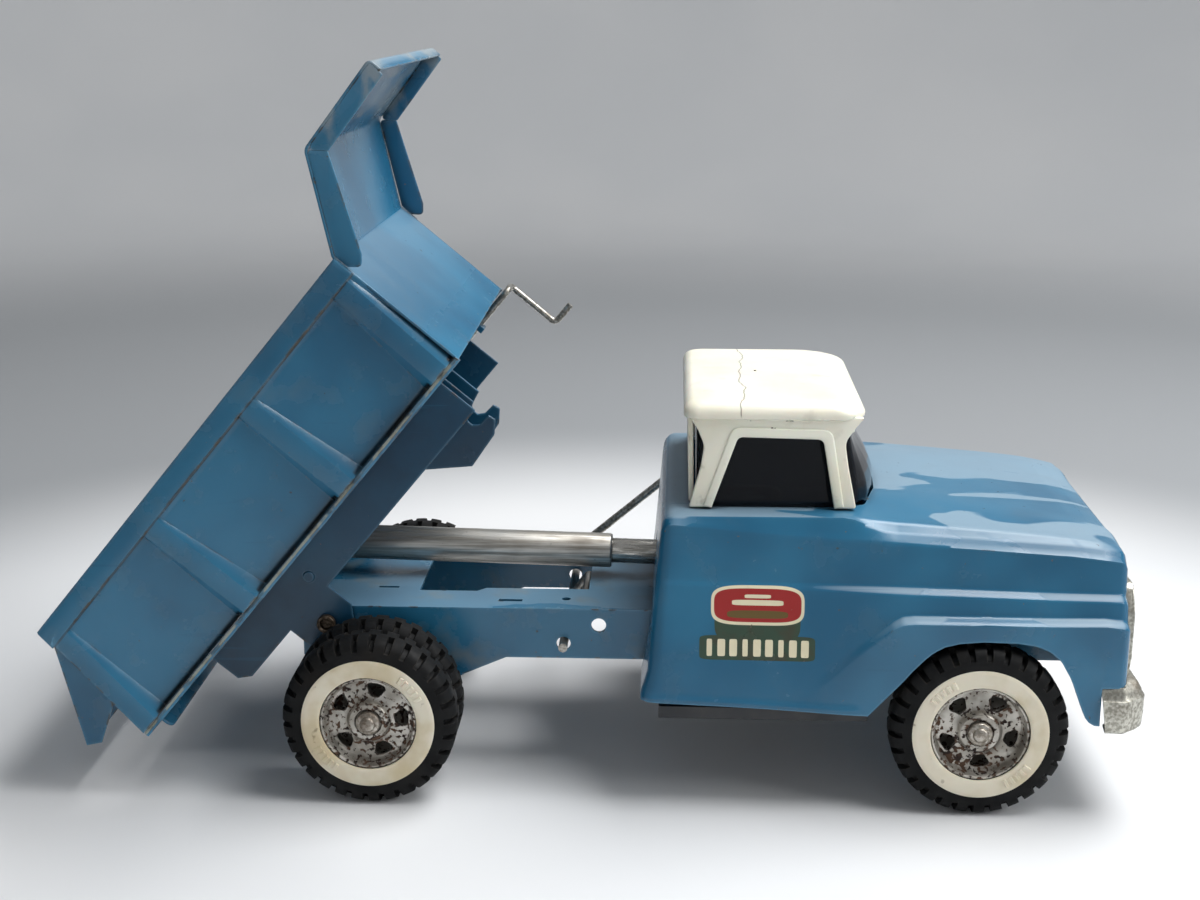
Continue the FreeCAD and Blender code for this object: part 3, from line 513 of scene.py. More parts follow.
def door_decal(g, colour):
    """A plain badge on each door: a red panel in a cream frame over a green band with bars."""
    across, up = g.axis("X"), g.axis("Z")
    on_side = g.ramp(g.math("ABSOLUTE", g.axis("Y")), 0.0595, 0.0600)
    cream, red = srgb(232, 222, 190), srgb(158, 38, 36)
    green, olive = srgb(52, 74, 58), srgb(104, 84, 42)
    layers = (
        (green, (DECAL_X, DECAL_Z - 3.0), (14.4, 9.2), 5.0),
        (green, (DECAL_X, DECAL_Z - 14.3), (19.4, 4.2), 10.0),
        (cream, (DECAL_X, DECAL_Z), (15.6, 6.6), 4.0),
        (red, (DECAL_X, DECAL_Z), (14.6, 5.6), 4.0),
        (cream, (DECAL_X, DECAL_Z + 0.9), (8.6, 0.9), 6.0),
        (olive, (DECAL_X, DECAL_Z - 3.0), (10.2, 1.3), 4.0),
        (cream, (DECAL_X, DECAL_Z + 3.0), (4.4, 0.6), 6.0),
    )
    mottle = g.ramp(g.noise(160, 4, seed=9.0), 0.45, 0.7, 0.0, 0.5)
    for paint, centre, half, power in layers:
        shade = g.mix(mottle, paint, srgb(70, 56, 40)) if paint == green else paint
        mask = g.times(inside(g, across, up, centre, half, power), on_side)
        colour = g.mix(mask, colour, shade)
    for bar in range(9):
        centre = (DECAL_X - 16.0 + 4.0 * bar, DECAL_Z - 14.3)
        half = (1.3, 2.9) if bar % 3 else (0.9, 2.9)
        mask = g.times(inside(g, across, up, centre, half, 8.0), on_side)
        colour = g.mix(mask, colour, cream)
    return colour


def shaded(g, colour):
    """The subframe's paint is darker all over, more so in patches: painted shade."""
    shade_share = g.ramp(g.noise(34, 4, seed=15.0), 0.35, 0.65, 0.55, 0.75)
    # painted shade: a darker teal mixed into the whole subframe
    return g.mix(shade_share, colour, srgb(10, 34, 56))


def rubber():
    """Black rubber, greyed by dust along the edges of its blocks."""
    g = Graph("tyre_rubber_worn", Specular_IOR_Level=0.22)
    muddy = g.ramp(g.noise(60, 4, seed=2.0), 0.5, 0.78)
    colour = g.mix(g.times(muddy, 0.4), srgb(11, 12, 13), srgb(40, 35, 30))
    dusty = g.times(g.edges(0.8), g.ramp(g.noise(300, 3), 0.45, 0.7, 0.0, 0.4))
    colour = g.mix(dusty, colour, srgb(78, 72, 62))
    g.bump((g.noise(700, 4), 0.06), (g.noise(90, 2), 0.12))
    return g.finish(colour, g.ramp(g.noise(120, 3), 0.3, 0.7, 0.55, 0.8))


def aged_white():
    """White rubber gone yellow, with brown spots."""
    g = Graph("whitewall_aged", Subsurface_Weight=0.08, Subsurface_Scale=0.002)
    colour = g.mix(g.ramp(g.noise(55, 4, seed=1.0), 0.4, 0.7), srgb(228, 220, 200), srgb(205, 190, 156))
    spots = g.ramp(g.noise(230, 4, seed=7.0), 0.66, 0.74)
    colour = g.mix(g.times(spots, 0.6), colour, srgb(112, 90, 60))
    g.bump((g.noise(500, 3), 0.04))
    return g.finish(colour, 0.55)


def rusted_rim():
    """Silver paint with rust coming through it in flecks."""
    g = Graph("rim_rusted")
    flecks = g.plus(g.noise(620, 6, seed=2.0), g.times(g.noise(80, 3, seed=3.0), 0.4))
    rusty = g.ramp(g.plus(flecks, g.times(g.edges(0.9), 0.1)), 0.725, 0.79)
    silver = g.mix(g.ramp(g.noise(120, 3), 0.35, 0.65), srgb(196, 192, 184), srgb(146, 141, 132))
    rust = g.mix(g.ramp(g.noise(260, 3, seed=4.0), 0.4, 0.62), srgb(44, 33, 28), srgb(92, 68, 52))
    g.bump((g.minus(1.0, rusty), 0.08), (g.noise(800, 3), 0.04))
    return g.finish(g.mix(rusty, silver, rust), g.ramp(rusty, 0, 1, 0.36, 0.85),
                    g.ramp(rusty, 0, 1, 0.75, 0.1))


def worn_metal(name, bright, dull, streaks, roughness, stain=0.3, pits=0.02):
    """Bare or plated metal, with stains and fine marks that run along one direction."""
    g = Graph(name)
    grain = g.noise(900, 3, streaks, seed=1.0)
    stains = g.ramp(g.noise(70, 5, tuple(0.4 + 0.6 * s for s in streaks), seed=2.0), 0.45, 0.72)
    colour = g.mix(g.ramp(grain, 0.35, 0.65), bright, dull)
    colour = g.mix(g.times(stains, stain), colour, srgb(86, 68, 50))
    specks = g.ramp(g.noise(480, 3, seed=6.0), 0.68, 0.74)
    colour = g.mix(g.times(specks, stain), colour, srgb(48, 42, 36))
    g.bump((grain, 0.012), (g.noise(420, 4, seed=3.0), pits))
    rough = g.plus(g.ramp(grain, 0.3, 0.7, roughness - 0.06, roughness + 0.1),
                   g.times(stains, 0.25))
    return g.finish(colour, rough, g.ramp(g.times(specks, stain), 0, 1, 0.95, 0.3))


CRACK_X = 0.0508


def cream_plastic():
    """Off-white plastic with grime in its feet, scuffed edges and one crack across the top."""
    g = Graph("roof_cream", Subsurface_Weight=0.1, Subsurface_Scale=0.003, Coat_Weight=0.15,
              Coat_Roughness=0.2)
    colour = g.mix(g.ramp(g.noise(30, 3), 0.35, 0.7), srgb(246, 242, 226), srgb(236, 230, 209))
    grime = g.ramp(g.noise(140, 5, seed=3.0), 0.6, 0.78)
    low = g.ramp(g.axis("Z"), 0.100, 0.135, 0.75, 0.18)
    colour = g.mix(g.times(grime, low), colour, srgb(120, 104, 74))
    scuffs = g.times(g.edges(1.2), g.ramp(g.noise(330, 4, seed=5.0), 0.60, 0.66))
    colour = g.mix(scuffs, colour, srgb(60, 52, 44))
    wander = g.times(g.minus(g.noise(38, 4, (0, 1, 0.6), seed=16.0), 0.5), 0.012)
    off_line = g.math("ABSOLUTE", g.minus(g.axis("X"), g.plus(wander, CRACK_X)))
    line = g.ramp(off_line, 0.00012, 0.0003, 1.0, 0.0)
    crack = g.times(line, g.ramp(g.axis("Z"), 0.132, 0.1335))
    colour = g.mix(g.times(crack, 0.7), colour, srgb(96, 84, 62))
    g.bump((g.noise(260, 2), 0.02), (g.noise(30, 2), 0.15))
    return g.finish(colour, g.ramp(g.noise(80, 3), 0.3, 0.7, 0.3, 0.45))


def smoked_glass():
    """Clear plastic tinted grey, hazy in places."""
    g = Graph("glass_smoked", Transmission_Weight=0.9, IOR=1.35)
    haze = g.ramp(g.noise(90, 4), 0.5, 0.75)
    specks = g.ramp(g.noise(520, 2, seed=2.0), 0.72, 0.76)
    tint = g.mix(g.times(specks, 0.4), srgb(46, 54, 66), srgb(150, 150, 150))
    return g.finish(tint, g.ramp(haze, 0, 1, 0.03, 0.16))


def black_paint():
    g = Graph("pan_black", Coat_Weight=0.2)
    colour = g.mix(g.ramp(g.noise(90, 4), 0.45, 0.7), srgb(20, 24, 30), srgb(44, 42, 40))
    g.bump((g.noise(300, 3), 0.03))
    return g.finish(colour, g.ramp(g.noise(60, 3), 0.3, 0.7, 0.35, 0.6))


CAB_PAINT = enamel("enamel_cab", film=0.78, grime=0.06, chips=0.15, coat=0.1, marks=door_decal)
BED_PAINT = enamel("enamel_bed", film=0.1, grime=0.12, chips=0.75, marks=bed_marks)
VISOR_PAINT = enamel("enamel_visor", film=0.8, grime=0.06, chips=0.6, clean=0.85, marks=visor_marks)
# the subframe's enamel is a darker copy of the paint: painted shade
SHADED_SUBFRAME_PAINT = enamel("enamel_subframe_shaded", film=0.0, grime=0.04, chips=0.4, coat=0.0, marks=shaded)
FRAME_PAINT = enamel("enamel_frame", film=0.4, grime=0.42, chips=0.3)
RUBBER = rubber()
WHITEWALL = aged_white()
RIM = rusted_rim()
CREAM = cream_plastic()
GLASS = smoked_glass()
PAN = black_paint()
PLATING = worn_metal("plating_dull", srgb(200, 198, 188), srgb(150, 148, 138), (1, 1, 1), 0.34, 0.5, 0.08)
TUBE = worn_metal("steel_tube", srgb(222, 220, 214), srgb(168, 164, 156), (0.04, 1, 1), 0.36, 0.4)
ROD = worn_metal("steel_rod", srgb(214, 212, 206), srgb(140, 137, 130), (0.1, 1, 1), 0.24, 0.25)
STEEL = worn_metal("steel_plain", srgb(196, 193, 186), srgb(138, 134, 126), (1, 0.1, 1), 0.34, 0.3)
CAP = worn_metal("hub_cap_steel", srgb(200, 195, 186), srgb(150, 143, 132), (1, 1, 1), 0.34, 0.8)
PIN_RUST = worn_metal("steel_rusty", srgb(112, 100, 88), srgb(62, 54, 46), (1, 1, 1), 0.5, 0.9, 0.05)


# --- CAD nodes that stay

def keep(node, material, edge=0.3):
    """A CAD node whose shape is right: its facets merged, its edges rounded and repainted."""
    obj = frame["nodes"][node]
    weld = obj.modifiers.new("weld", "WELD")
    weld.merge_threshold = 2e-6
    flat = obj.modifiers.new("flat", "DECIMATE")
    flat.decimate_type = "DISSOLVE"
    flat.angle_limit = math.radians(0.6)
    if edge:
        round_edges(obj, edge)
    else:
        normals = obj.modifiers.new("normals", "WEIGHTED_NORMAL")
        normals.keep_sharp = True
    for index in range(len(obj.material_slots)):
        obj.material_slots[index].link = "OBJECT"
        obj.material_slots[index].material = material


KEPT = {
    FRAME_PAINT: ("chassis_frame", "rod_anchor_bracket"),
    BED_PAINT: ("latch_rod_clips", "tailgate"),
    SHADED_SUBFRAME_PAINT: ("bed_subframe", "bed_hook_bracket", "cylinder_rear_pin"),
    PIN_RUST: ("pivot_rod_caps", "bed_pivot_rod"),
    PAN: ("floor_pan",),
    STEEL: ("front_axle", "rear_axle", "rod_anchor_pin", "tailgate_hinge_pins",
            "tailgate_latch_rod", "bed_latch_lever"),
    TUBE: ("cylinder_tube", "cylinder_gland", "cylinder_end_cap", "piston_head"),
    ROD: ("piston_rod",),
    RUBBER: ("piston_seal",),
}
ROUND_NODES = ("tailgate_latch_rod", "bed_latch_lever", "front_axle", "rear_axle")
for kept_material, kept_nodes in KEPT.items():
    for kept_node in kept_nodes:
        keep(kept_node, kept_material, 0 if kept_node in ROUND_NODES else 0.3)


# --- wheels

BEAD_RADIUS = 16.6          # where the tyre, its whitewall and the rim meet
WHITEWALL_RADIUS = 22.9
RIM_INSET = 0.6             # the rim's edges lie this far inside the tyre's faces
BLOCKS = 30                 # tread blocks round the tyre
NOTCH = (0.0, 0.04, 0.32, 0.36)    # one notch's two edges, as shares of a block's pitch
NOTCH_DEPTH = 2.1


def tyre(name, body, axle, side, back, face):
    """A tyre with notched shoulder blocks, the two rows half a pitch apart."""
    middle = (back + face) / 2
    half = [  # distance in from the face, radius, share of the notch's depth, of its bite inwards
        (0.5, BEAD_RADIUS, 0, 0), (0.1, blend(BEAD_RADIUS, WHITEWALL_RADIUS, 0.7), 0, 0),
        (0.0, WHITEWALL_RADIUS + 0.1, 0, 0), (0.0, 25.2, 0, 0), (0.25, 25.9, 0, 0),
        (0.25, 26.2, 0.1, 1.0), (0.7, 27.7, 0.5, 1.0), (1.7, 29.0, 0.9, 0.6), (3.0, 29.7, 1, 0.2),
        (4.4, 30.0, 1, 0), ((face - back) / 2 - 1.1, 30.0, 1, 0),
        ((face - back) / 2 - 0.8, 30.0, 0, 0),
    ]
    shares = sorted(NOTCH + tuple(share + 0.5 for share in NOTCH))
    pitch = 2 * math.pi / BLOCKS
    rows = []
    for outer_half in (True, False):
        part = []
        for inset, radius, depth, bite in half:
            row = []
            for block in range(BLOCKS):
                for share in shares:
                    phase = share if outer_half else (share + 0.5) % 1.0
                    cut = NOTCH[1] - 1e-6 <= phase <= NOTCH[2] + 1e-6
                    reach = radius - (NOTCH_DEPTH * depth if cut else 0)
                    out = (face if outer_half else back)
                    step = inset + (0.9 * bite if cut else 0)
                    out += -step if outer_half else step
                    row.append(on_wheel(axle, side, out, reach, (block + share) * pitch))
            part.append(row)
        rows += part if outer_half else part[::-1]
    rows.append([on_wheel(axle, side, middle, BEAD_RADIUS, (block + share) * pitch)
                 for block in range(BLOCKS) for share in shares])
    rows.append(rows[0])
    obj = grid_object(f"{name}_tyre_tread", rows, close_columns=True, sharp_angle=32)
    return finish_piece(obj, RUBBER, body, "tyre_rubber", f"{name}_tyre")


BARS, BAR_HEIGHT = 5, 0.4
BAR_STEP = math.radians(6.4)


def whitewall(name, body, axle, side, face, marks):
    """The pale ring, with two groups of plain raised bars."""
    inner, outer = BEAD_RADIUS, WHITEWALL_RADIUS
    profile = [  # distance out from the face, radius, whether the bars rise here
        (-1.5, inner, 0), (0.1, inner + 0.1, 0), (0.32, inner + 0.5, 0), (0.34, 18.2, 0),
        (0.34, 18.35, 1), (0.34, 20.9, 1), (0.34, 21.05, 0), (0.34, outer - 0.7, 0),
        (0.12, outer - 0.1, 0), (-1.5, outer, 0),
    ]
    bars = []
    for mark in marks:
        for index in range(BARS):
            start = math.radians(mark) + (index - BARS / 2) * BAR_STEP
            bars.append((start + 0.012, start + BAR_STEP * 0.62))
    turns = sorted(set(circle(96)) | {(edge + slope) % (2 * math.pi) for bar in bars for edge in bar
                                      for slope in (-0.006, 0.006)})

    def raised(turn):
        return any((turn - low) % (2 * math.pi) < high - low for low, high in bars)

    rows = [[on_wheel(axle, side, face + out + (BAR_HEIGHT if lift and raised(turn) else 0), radius, turn)
             for turn in turns] for out, radius, lift in profile]
    obj = grid_object(f"{name}_whitewall_ring", rows, close_columns=True, sharp_angle=40)
    return finish_piece(obj, WHITEWALL, body, "whitewall", f"{name}_whitewall")


def rim(name, body, axle, side, back, face, phase, hub_face):
    """A pressed wheel with a rolled lip, a dished disc with five windows, and a raised boss."""
    profile = [(face - 0.2, 16.55), (face + 0.15, 16.2), (face + 0.15, 15.7), (face - 0.5, 15.3),
               (face - 2.9, 14.9), (face - 3.6, 14.2), (face - 3.5, 12.5), (face - 3.0, 9.5),
               (face - 2.6, 7.9), (face - 2.1, 7.4), (hub_face - 0.5, 7.0), (hub_face, 6.4),
               (hub_face, 4.8), (hub_face - 0.5, 4.3), (hub_face - 0.6, 2.1),
               (hub_face - 1.7, 2.1), (face - 3.8, 6.6), (face - 4.4, 9.6), (face - 4.8, 13.2),
               (face - 4.2, 15.5), (back + 1.9, 15.4), (back + 1.6, 3.2), (back + 0.8, 3.2),
               (back + 0.7, 15.3), (back, 15.6), (back, 16.55)]
    rows = ring_points(profile, axle, side, circle(72))
    obj = grid_object(f"{name}_rim_disc", rows + [rows[0]], close_columns=True, sharp_angle=38)
    window = fillet([(-3.9, 12.7), (0, 13.6), (3.9, 12.7), (1.5, 8.7), (-1.5, 8.7)],
                    [1.2, 5.0, 1.2, 1.1, 1.1], 4)
    cutters = []
    for index in range(5):
        turn = math.radians(phase + 72 * index - 90)
        turn_cos, turn_sin = math.cos(turn), math.sin(turn)
        spun = [(a * turn_cos - b * turn_sin, a * turn_sin + b * turn_cos) for a, b in window]
        ends = [[(axle.x + a, side * out, axle.z + b) for a, b in spun]
                for out in (face - 6.5, face + 1)]
        cutters.append(capped_object("cutter", ends))
    cut_out(obj, join(cutters, "cutter"))
    tidy_mesh(obj, 38)
    round_edges(obj, 0.18, 2, 40)
    return finish_piece(obj, RIM, body, "rim_steel", f"{name}_rim")


def hub_cap(name, body, axle, side, base, face):
    """A pressed cap, domed in two steps."""
    profile = [(base, 4.15), (base + 0.9, 4.1), (base + 1.5, 3.7), (base + 1.7, 3.1),
               (base + 1.8, 2.7), (face - 0.7, 2.5), (face - 0.25, 1.9), (face - 0.05, 1.1), (face, 0.0)]
    rows = ring_points(profile, axle, side, circle(48))
    obj = grid_object(f"{name}_hub_cap_dome", rows, close_columns=True, sharp_angle=50)
    return finish_piece(obj, CAP, body, "hub_cap", f"{name}_hub_cap")


def box_sides(node, side):
    """How far a wheel piece reaches across: (nearest, farthest) from the truck's middle."""
    low, high = node_box(node)
    return (low.y, high.y) if side > 0 else (-high.y, -low.y)


WINDOW_PHASE = {"front": 58.0, "rear": 5.0, "inner": 41.0}    # how far each rim is turned, in degrees
MARKS = {"front": (132.0, -48.0), "rear": (42.0, 222.0)}    # where each group of bars is centred
for side_name, side in (("left", 1), ("right", -1)):
    for end, axle in (("front", front_axle), ("rear", rear_axle)):
        name = f"front_{side_name}" if end == "front" else f"rear_{side_name}_outer"
        body = f"{name}_wheel"
        back, face = box_sides(f"{name}_tyre", side)
        tyre(name, body, axle, side, back, face)
        whitewall(name, body, axle, side, face, MARKS[end])
        rim(name, body, axle, side, back + RIM_INSET, face - RIM_INSET, WINDOW_PHASE[end], face - 1.2)
        cap_base, cap_face = box_sides(f"{name}_hub_cap", side)
        hub_cap(name, body, axle, side, cap_base, cap_face)
    name = f"rear_{side_name}_inner"
    back, face = box_sides(f"{name}_tyre", side)
    tyre(name, f"{name}_wheel", rear_axle, side, back, face)
    rim(name, f"{name}_wheel", rear_axle, side, back + RIM_INSET, face - RIM_INSET,
        WINDOW_PHASE["inner"], face - 1.0)


# --- cab body

SILL = [(16.0, 38.6), (cab_low.x, 38.2), (93.5, 35.1)]
ARCH = [(93.5, 35.1), (103.7, 46.4), (108.0, 51.6), (111.6, 55.5), (114.4, 58.0), (118.0, 60.1),
        (123.0, 61.4), (131.0, 62.1), (142.0, 61.8), (148.0, 60.9), (152.5, 59.2), (156.5, 55.8),
        (160.4, 49.2), (164.8, 37.8), (166.4, 34.4), (168.8, 32.8), (170.6, 32.6)]
NOSE_FOOT = 46.0            # the panels end here beyond the bumper's back
NOSE_STEP_X = 170.8
CREASE = [(20.0, 98.4), (27.0, 98.0), (62.0, 95.6), (91.0, 94.2), (102.0, 93.3), (131.0, 91.6),
          (160.0, 89.8), (178.0, 87.6), (181.0, 86.4)]
DECK_EDGE = [(20.0, 100.4), (84.0, 100.7), (88.0, 100.0), (93.0, 97.9), (98.0, 96.3), (102.0, 95.7),
             (131.0, 94.2), (160.0, 92.4), (178.0, 90.0), (181.0, 88.6)]
HOOD_MIDDLE = [(20.0, 101.2), (98.0, 101.2), (108.0, 100.6), (131.0, 98.4), (150.0, 96.4),
               (165.0, 94.4), (174.0, 92.4), (178.0, 90.6), (181.0, 88.4)]
DOOR_SIDE = [(30.0, 69.6), (37.5, 69.0), (48.0, 67.6), (68.0, 64.6), (79.0, 62.4), (98.0, 60.0),
             (104.0, 59.6)]
BROW = [(60.0, 30.0), (74.0, 43.7), (87.0, 56.0), (101.0, 67.2), (104.0, 68.8), (108.0, 69.2),
        (172.0, 69.0), (182.0, 67.5)]
LEDGE = [(20.0, 79.0), (94.0, 77.6), (136.0, 76.6), (182.0, 75.4)]
CREASE_Y, DECK_Y, SHOULDER_Y = 60.1, 57.6, 57.5
BROW_Y = 70.9


def foot_height(x):
    """The lower edge of the cab's side: the sill, the wheel arch, then the nose's foot."""
    if x > NOSE_STEP_X:
        return NOSE_FOOT
    return along_line(SILL, x) if x < ARCH[0][0] else along_line(ARCH, x)


def side_reach(x, z):
    """How far out the cab's side is: a leaning door, then a ledge and a brow over the wheel."""
    reach = along_line(DOOR_SIDE, z)
    ledge = along_line(LEDGE, x)
    forward = smooth_step(x, 50, 112)
    reach += (0.5 + 2.1 * forward) * smooth_step(ledge + 1.3 - z, 0, 2.6)
    below_brow = along_line(BROW, x) - z
    crisp = blend(3.2, 1.3, smooth_step(x, 78, 104))
    brow = smooth_step(below_brow, -0.5 * crisp, crisp) * smooth_step(x, 70, 104)
    reach = blend(reach, BROW_Y, brow * 0.96)
    rolled = math.exp(-((z - foot_height(x) - 1.4) / 1.1) ** 2)
    return reach + (0.55 * rolled * (1 - smooth_step(x, 86, 94)) if x < 94 else 0)


def top_height(x, y):
    """The deck round the roof, and the bonnet with its raised shoulders."""
    edge, middle = along_line(DECK_EDGE, x), along_line(HOOD_MIDDLE, x)
    inward = SHOULDER_Y - abs(y)
    share = 0.5 * smooth_step(inward, 0, 2.4) + 0.5 * smooth_step(inward, 0, 30)
    ridge = math.exp(-((abs(y) - 42) / 7) ** 2) * 0.9 * smooth_step(x, 118, 165)
    return blend(edge, middle, share) + ridge


def cab_section(x, inset):
    """Half of one cross-section from the foot to the middle of the top, drawn in by inset."""
    foot, crease = foot_height(x), along_line(CREASE, x)
    nose = smooth_step(x, 150, 181)
    points = []
    brow, ledge = along_line(BROW, x), along_line(LEDGE, x)
    brow_foot = max(foot + 4.0, brow - 3.4)
    levels = (foot, brow_foot, max(brow_foot + 0.5, brow + 1.7), ledge - 1.4, ledge + 1.4, crease - 0.6)
    heights = [foot]            # rows of points follow the brow and the ledge
    for low, high, count in zip(levels, levels[1:], (18, 12, 6, 8, 12)):
        heights += steps(low, high, count)[1:]
    for z in heights:
        drop = inset * (z - foot) / (crease - foot)
        points.append((side_reach(x, z) - inset - 1.0 * nose, z - drop))
    edge_z = along_line(DECK_EDGE, x)
    for share in (0.0, 0.35, 0.7, 1.0):
        y = blend(CREASE_Y, DECK_Y, share) - 1.0 * nose
        points.append((y - inset, blend(crease, edge_z, share) - inset))
    for y in (57.0, 56.0, 54.5, 52.5, 50, 47, 44, 41, 38, 34, 28, 21, 14, 7, 0):
        shrink = 1 - (inset + 1.0 * nose) / DECK_Y
        points.append((y * shrink, top_height(x, y) - inset))
    return points


REAR_ROUND, NOSE_ROUND = 4.5, 4.0
NOSE_X = cab_high.x - 0.4


def cab_stations():
    """(x, inset) pairs, with the corners at the back and the nose turned over quarter rounds."""
    stations = []
    for step in range(7):
        turn = math.radians(90 - 15 * step)
        stations.append((cab_low.x + REAR_ROUND * (1 - math.sin(turn)), REAR_ROUND * (1 - math.cos(turn))))
    places = [27, 29, 32, 36, 42, 48, 54, 60, 66, 70, 74]
    places += [74 + 1.0 * i for i in range(1, 97)] + [NOSE_STEP_X - 0.02, NOSE_STEP_X + 0.02]
    places += [ARCH[0][0] - 0.05]
    stations += [(x, 0.0) for x in sorted(set(places))]
    for step in range(1, 8):
        turn = math.radians(90 * step / 7)
        stations.append((NOSE_X - NOSE_ROUND * (1 - math.sin(turn)), NOSE_ROUND * (1 - math.cos(turn))))
    return stations


def lean_back(x, z):
    """The cab's back leans: its foot is further back than its shoulder."""
    share = 1 - smooth_step(x, cab_low.x, 52)
    flare = 1.6 * smooth_step(48 - z, 0, 9)
    return x + share * ((z - 70) * 0.085 - flare)


def roof_hole():
    """The hole in the deck that the glazing and roof stand in."""
    return fillet([(34, -45), (84, -47.5), (93, -41), (98, -22), (99.5, 0), (98, 22), (93, 41),
                   (84, 47.5), (34, 45)], 3.0, 2)


TUNNEL_HALF, TUNNEL_FOOT, TUNNEL_TOP = 38.8, 38.5, 60.4    # the frame's way through the back
ROD_HOLE_RADIUS = 7.6


def both_sides(half):
    """A whole section from its half: up from one foot, over the middle and down to the other."""
    return [(-y, z) for y, z in half] + half[-2::-1]


def cab_body():
    """Sides, deck and bonnet as one sheet, with a back panel and a nose panel set into it."""
    rows = []
    for x, inset in cab_stations():
        rows.append([(lean_back(x, z), y, z) for y, z in both_sides(cab_section(x, inset))])
    shell = grid_object("shell", rows, sharp_angle=50)
    thicken(shell, 1.1)
    bake_modifiers(shell)
    tidy_mesh(shell, 50)
    cut_out(shell, capped_object("cutter", [[(x, y, z) for x, y in roof_hole()] for z in (90, 110)]))
    top = [p for p in both_sides(cab_section(cab_low.x, REAR_ROUND)) if p[1] > TUNNEL_FOOT + 0.5]
    tunnel = [(TUNNEL_HALF, TUNNEL_FOOT), (TUNNEL_HALF, TUNNEL_TOP),
              (-TUNNEL_HALF, TUNNEL_TOP), (-TUNNEL_HALF, TUNNEL_FOOT)]
    rod_hole = [(ROD_HOLE_RADIUS * math.cos(t), anchor.z + 0.8 + ROD_HOLE_RADIUS * math.sin(t))
                for t in circle(40)]
    panel = plate("back", top + tunnel, 1.1,
                  lambda a, b, d: (lean_back(cab_low.x, b) + 0.55 + d, a, b), [rod_hole], 0.3)
    nose = plate("nose", both_sides(cab_section(NOSE_X, NOSE_ROUND)), 1.0,
                 lambda a, b, d: (NOSE_X - 0.5 + d, a, b), (), 0.2)
    body = join([shell, panel, nose], "cab_body_shell")
    tidy_mesh(body, 42)
    finish_piece(body, CAB_PAINT, "chassis", "cab_paint", "cab_body")


cab_body()


# --- roof and glazing

EAVE = roof_high.z - 5.6
ROOF_X = (roof_low.x + 0.3, roof_high.x - 0.3)
ROOF_FOOT = 101.4


def roof_ring(rear, front, half_width, height, rear_round, front_round):
    """One level outline of the roof."""
    corners = [(rear, -half_width), (front, -half_width), (front, half_width), (rear, half_width)]
    outline = fillet(corners, [rear_round, front_round, front_round, rear_round], 8)
    bow = 1.6               # the front edge bows forward in the middle
    return [(x + bow * (1 - (y / half_width) ** 2) * smooth_step(x, front - 14, front), y, height)
            for x, y in outline]


def roof_cap():
    """The rounded top, turned in under its eaves."""
    rear, front = ROOF_X[0], ROOF_X[1] - 1.6
    rings = [roof_ring(rear + 3.2, front - 3.5, 45.2, EAVE - 1.4, 5, 9),
             roof_ring(rear + 0.9, front - 1.0, 47.6, EAVE - 1.5, 5, 9),
             roof_ring(rear + 0.1, front - 0.1, 48.4, EAVE - 0.9, 5, 9)]
    for step in range(9):
        turn = math.radians(90 * step / 8)
        lift, inset = math.sin(turn), 1 - math.cos(turn)
        rings.append(roof_ring(rear + 3.6 * inset, front - 13 * inset, 48.5 - 5.5 * inset,
                               EAVE + 4.6 * lift, 5, 9))
    rear, front = rear + 3.6, front - 13
    middle_x = (rear + front) / 2
    for share in (0.85, 0.6, 0.3, 0.02):
        rings.append([(blend(middle_x, x, share), y * share, EAVE + 4.6 + 0.9 * (1 - share ** 2))
                      for x, y, _ in roof_ring(rear, front, 43.0, 0, 5, 9)])
    return grid_object("cap", rings, close_columns=True, sharp_angle=45)


PILLARS = [(32.6, ROOF_FOOT), (40.3, ROOF_FOOT), (49.0, 125.6), (77.6, 125.0), (81.8, ROOF_FOOT),
           (89.2, ROOF_FOOT), (86.2, 116.0), (85.0, 124.0), (88.5, 129.0), (91.4, EAVE - 0.4),
           (32.2, EAVE - 0.4), (35.4, 127.8), (37.6, 122.5), (36.4, 115.0)]
PILLAR_ROUNDS = [0.5, 0.3, 2.2, 2.2, 0.3, 0.8, 10, 5, 5, 0.4, 0.4, 5, 6, 18]
MOULDING = [(37.4, ROOF_FOOT + 0.6), (40.3, ROOF_FOOT), (49.0, 125.6), (77.6, 125.0), (81.8, ROOF_FOOT),
            (85.0, ROOF_FOOT + 0.6), (80.6, 128.3), (47.0, 128.9)]
MOULDING_ROUNDS = [0.4, 0.3, 2.2, 2.2, 0.3, 0.4, 3.5, 3.5]


def roof_side_reach(z):
    """The side panels lean in from their feet to the eaves."""
    return blend(50.4, 47.4, (z - ROOF_FOOT) / (EAVE - ROOF_FOOT))


def roof_sides():
    """Both pillared sides, each with a moulding round its window."""
    pieces = []
    for side in (-1, 1):
        pieces.append(plate("pillars", fillet(PILLARS, PILLAR_ROUNDS, 5), 2.0,
                            lambda a, b, d, s=side: (a, s * (roof_side_reach(b) - 1.4 + d), b), (), 0.5))
        pieces.append(plate("moulding", fillet(MOULDING, MOULDING_ROUNDS, 4), 1.6,
                            lambda a, b, d, s=side: (a, s * (roof_side_reach(b) - 0.5 + d), b), (), 0.5))
    return pieces


def roof_back():
    """The rear frame, open for its window, and the bar over the windscreen."""
    frame_outline = fillet(level_band(44, ROOF_FOOT, 43.5, EAVE), 2, 3)
    window = fillet(level_band(40.5, ROOF_FOOT + 2.2, 38.5, 125.5), 3, 5)
    back = plate("back_frame", frame_outline, 1.8, lambda a, b, d: (
        ROOF_X[0] + 3.0 - 0.02 * (b - ROOF_FOOT) + d, a, b), [window], 0.4)
    bar = plate("front_bar", fillet(level_band(42.5, 126, 43.5, EAVE), 1, 2), 1.8,
                lambda a, b, d: (ROOF_X[1] - 5.6 + d + 1.4 * (1 - (a / 43) ** 2), a, b), (), 0.4)
    return [back, bar]


roof = join([roof_cap(), *roof_sides(), *roof_back()], "cab_roof_moulding")
tidy_mesh(roof, 40)
finish_piece(roof, CREAM, "chassis", "roof_plastic", "cab_roof")


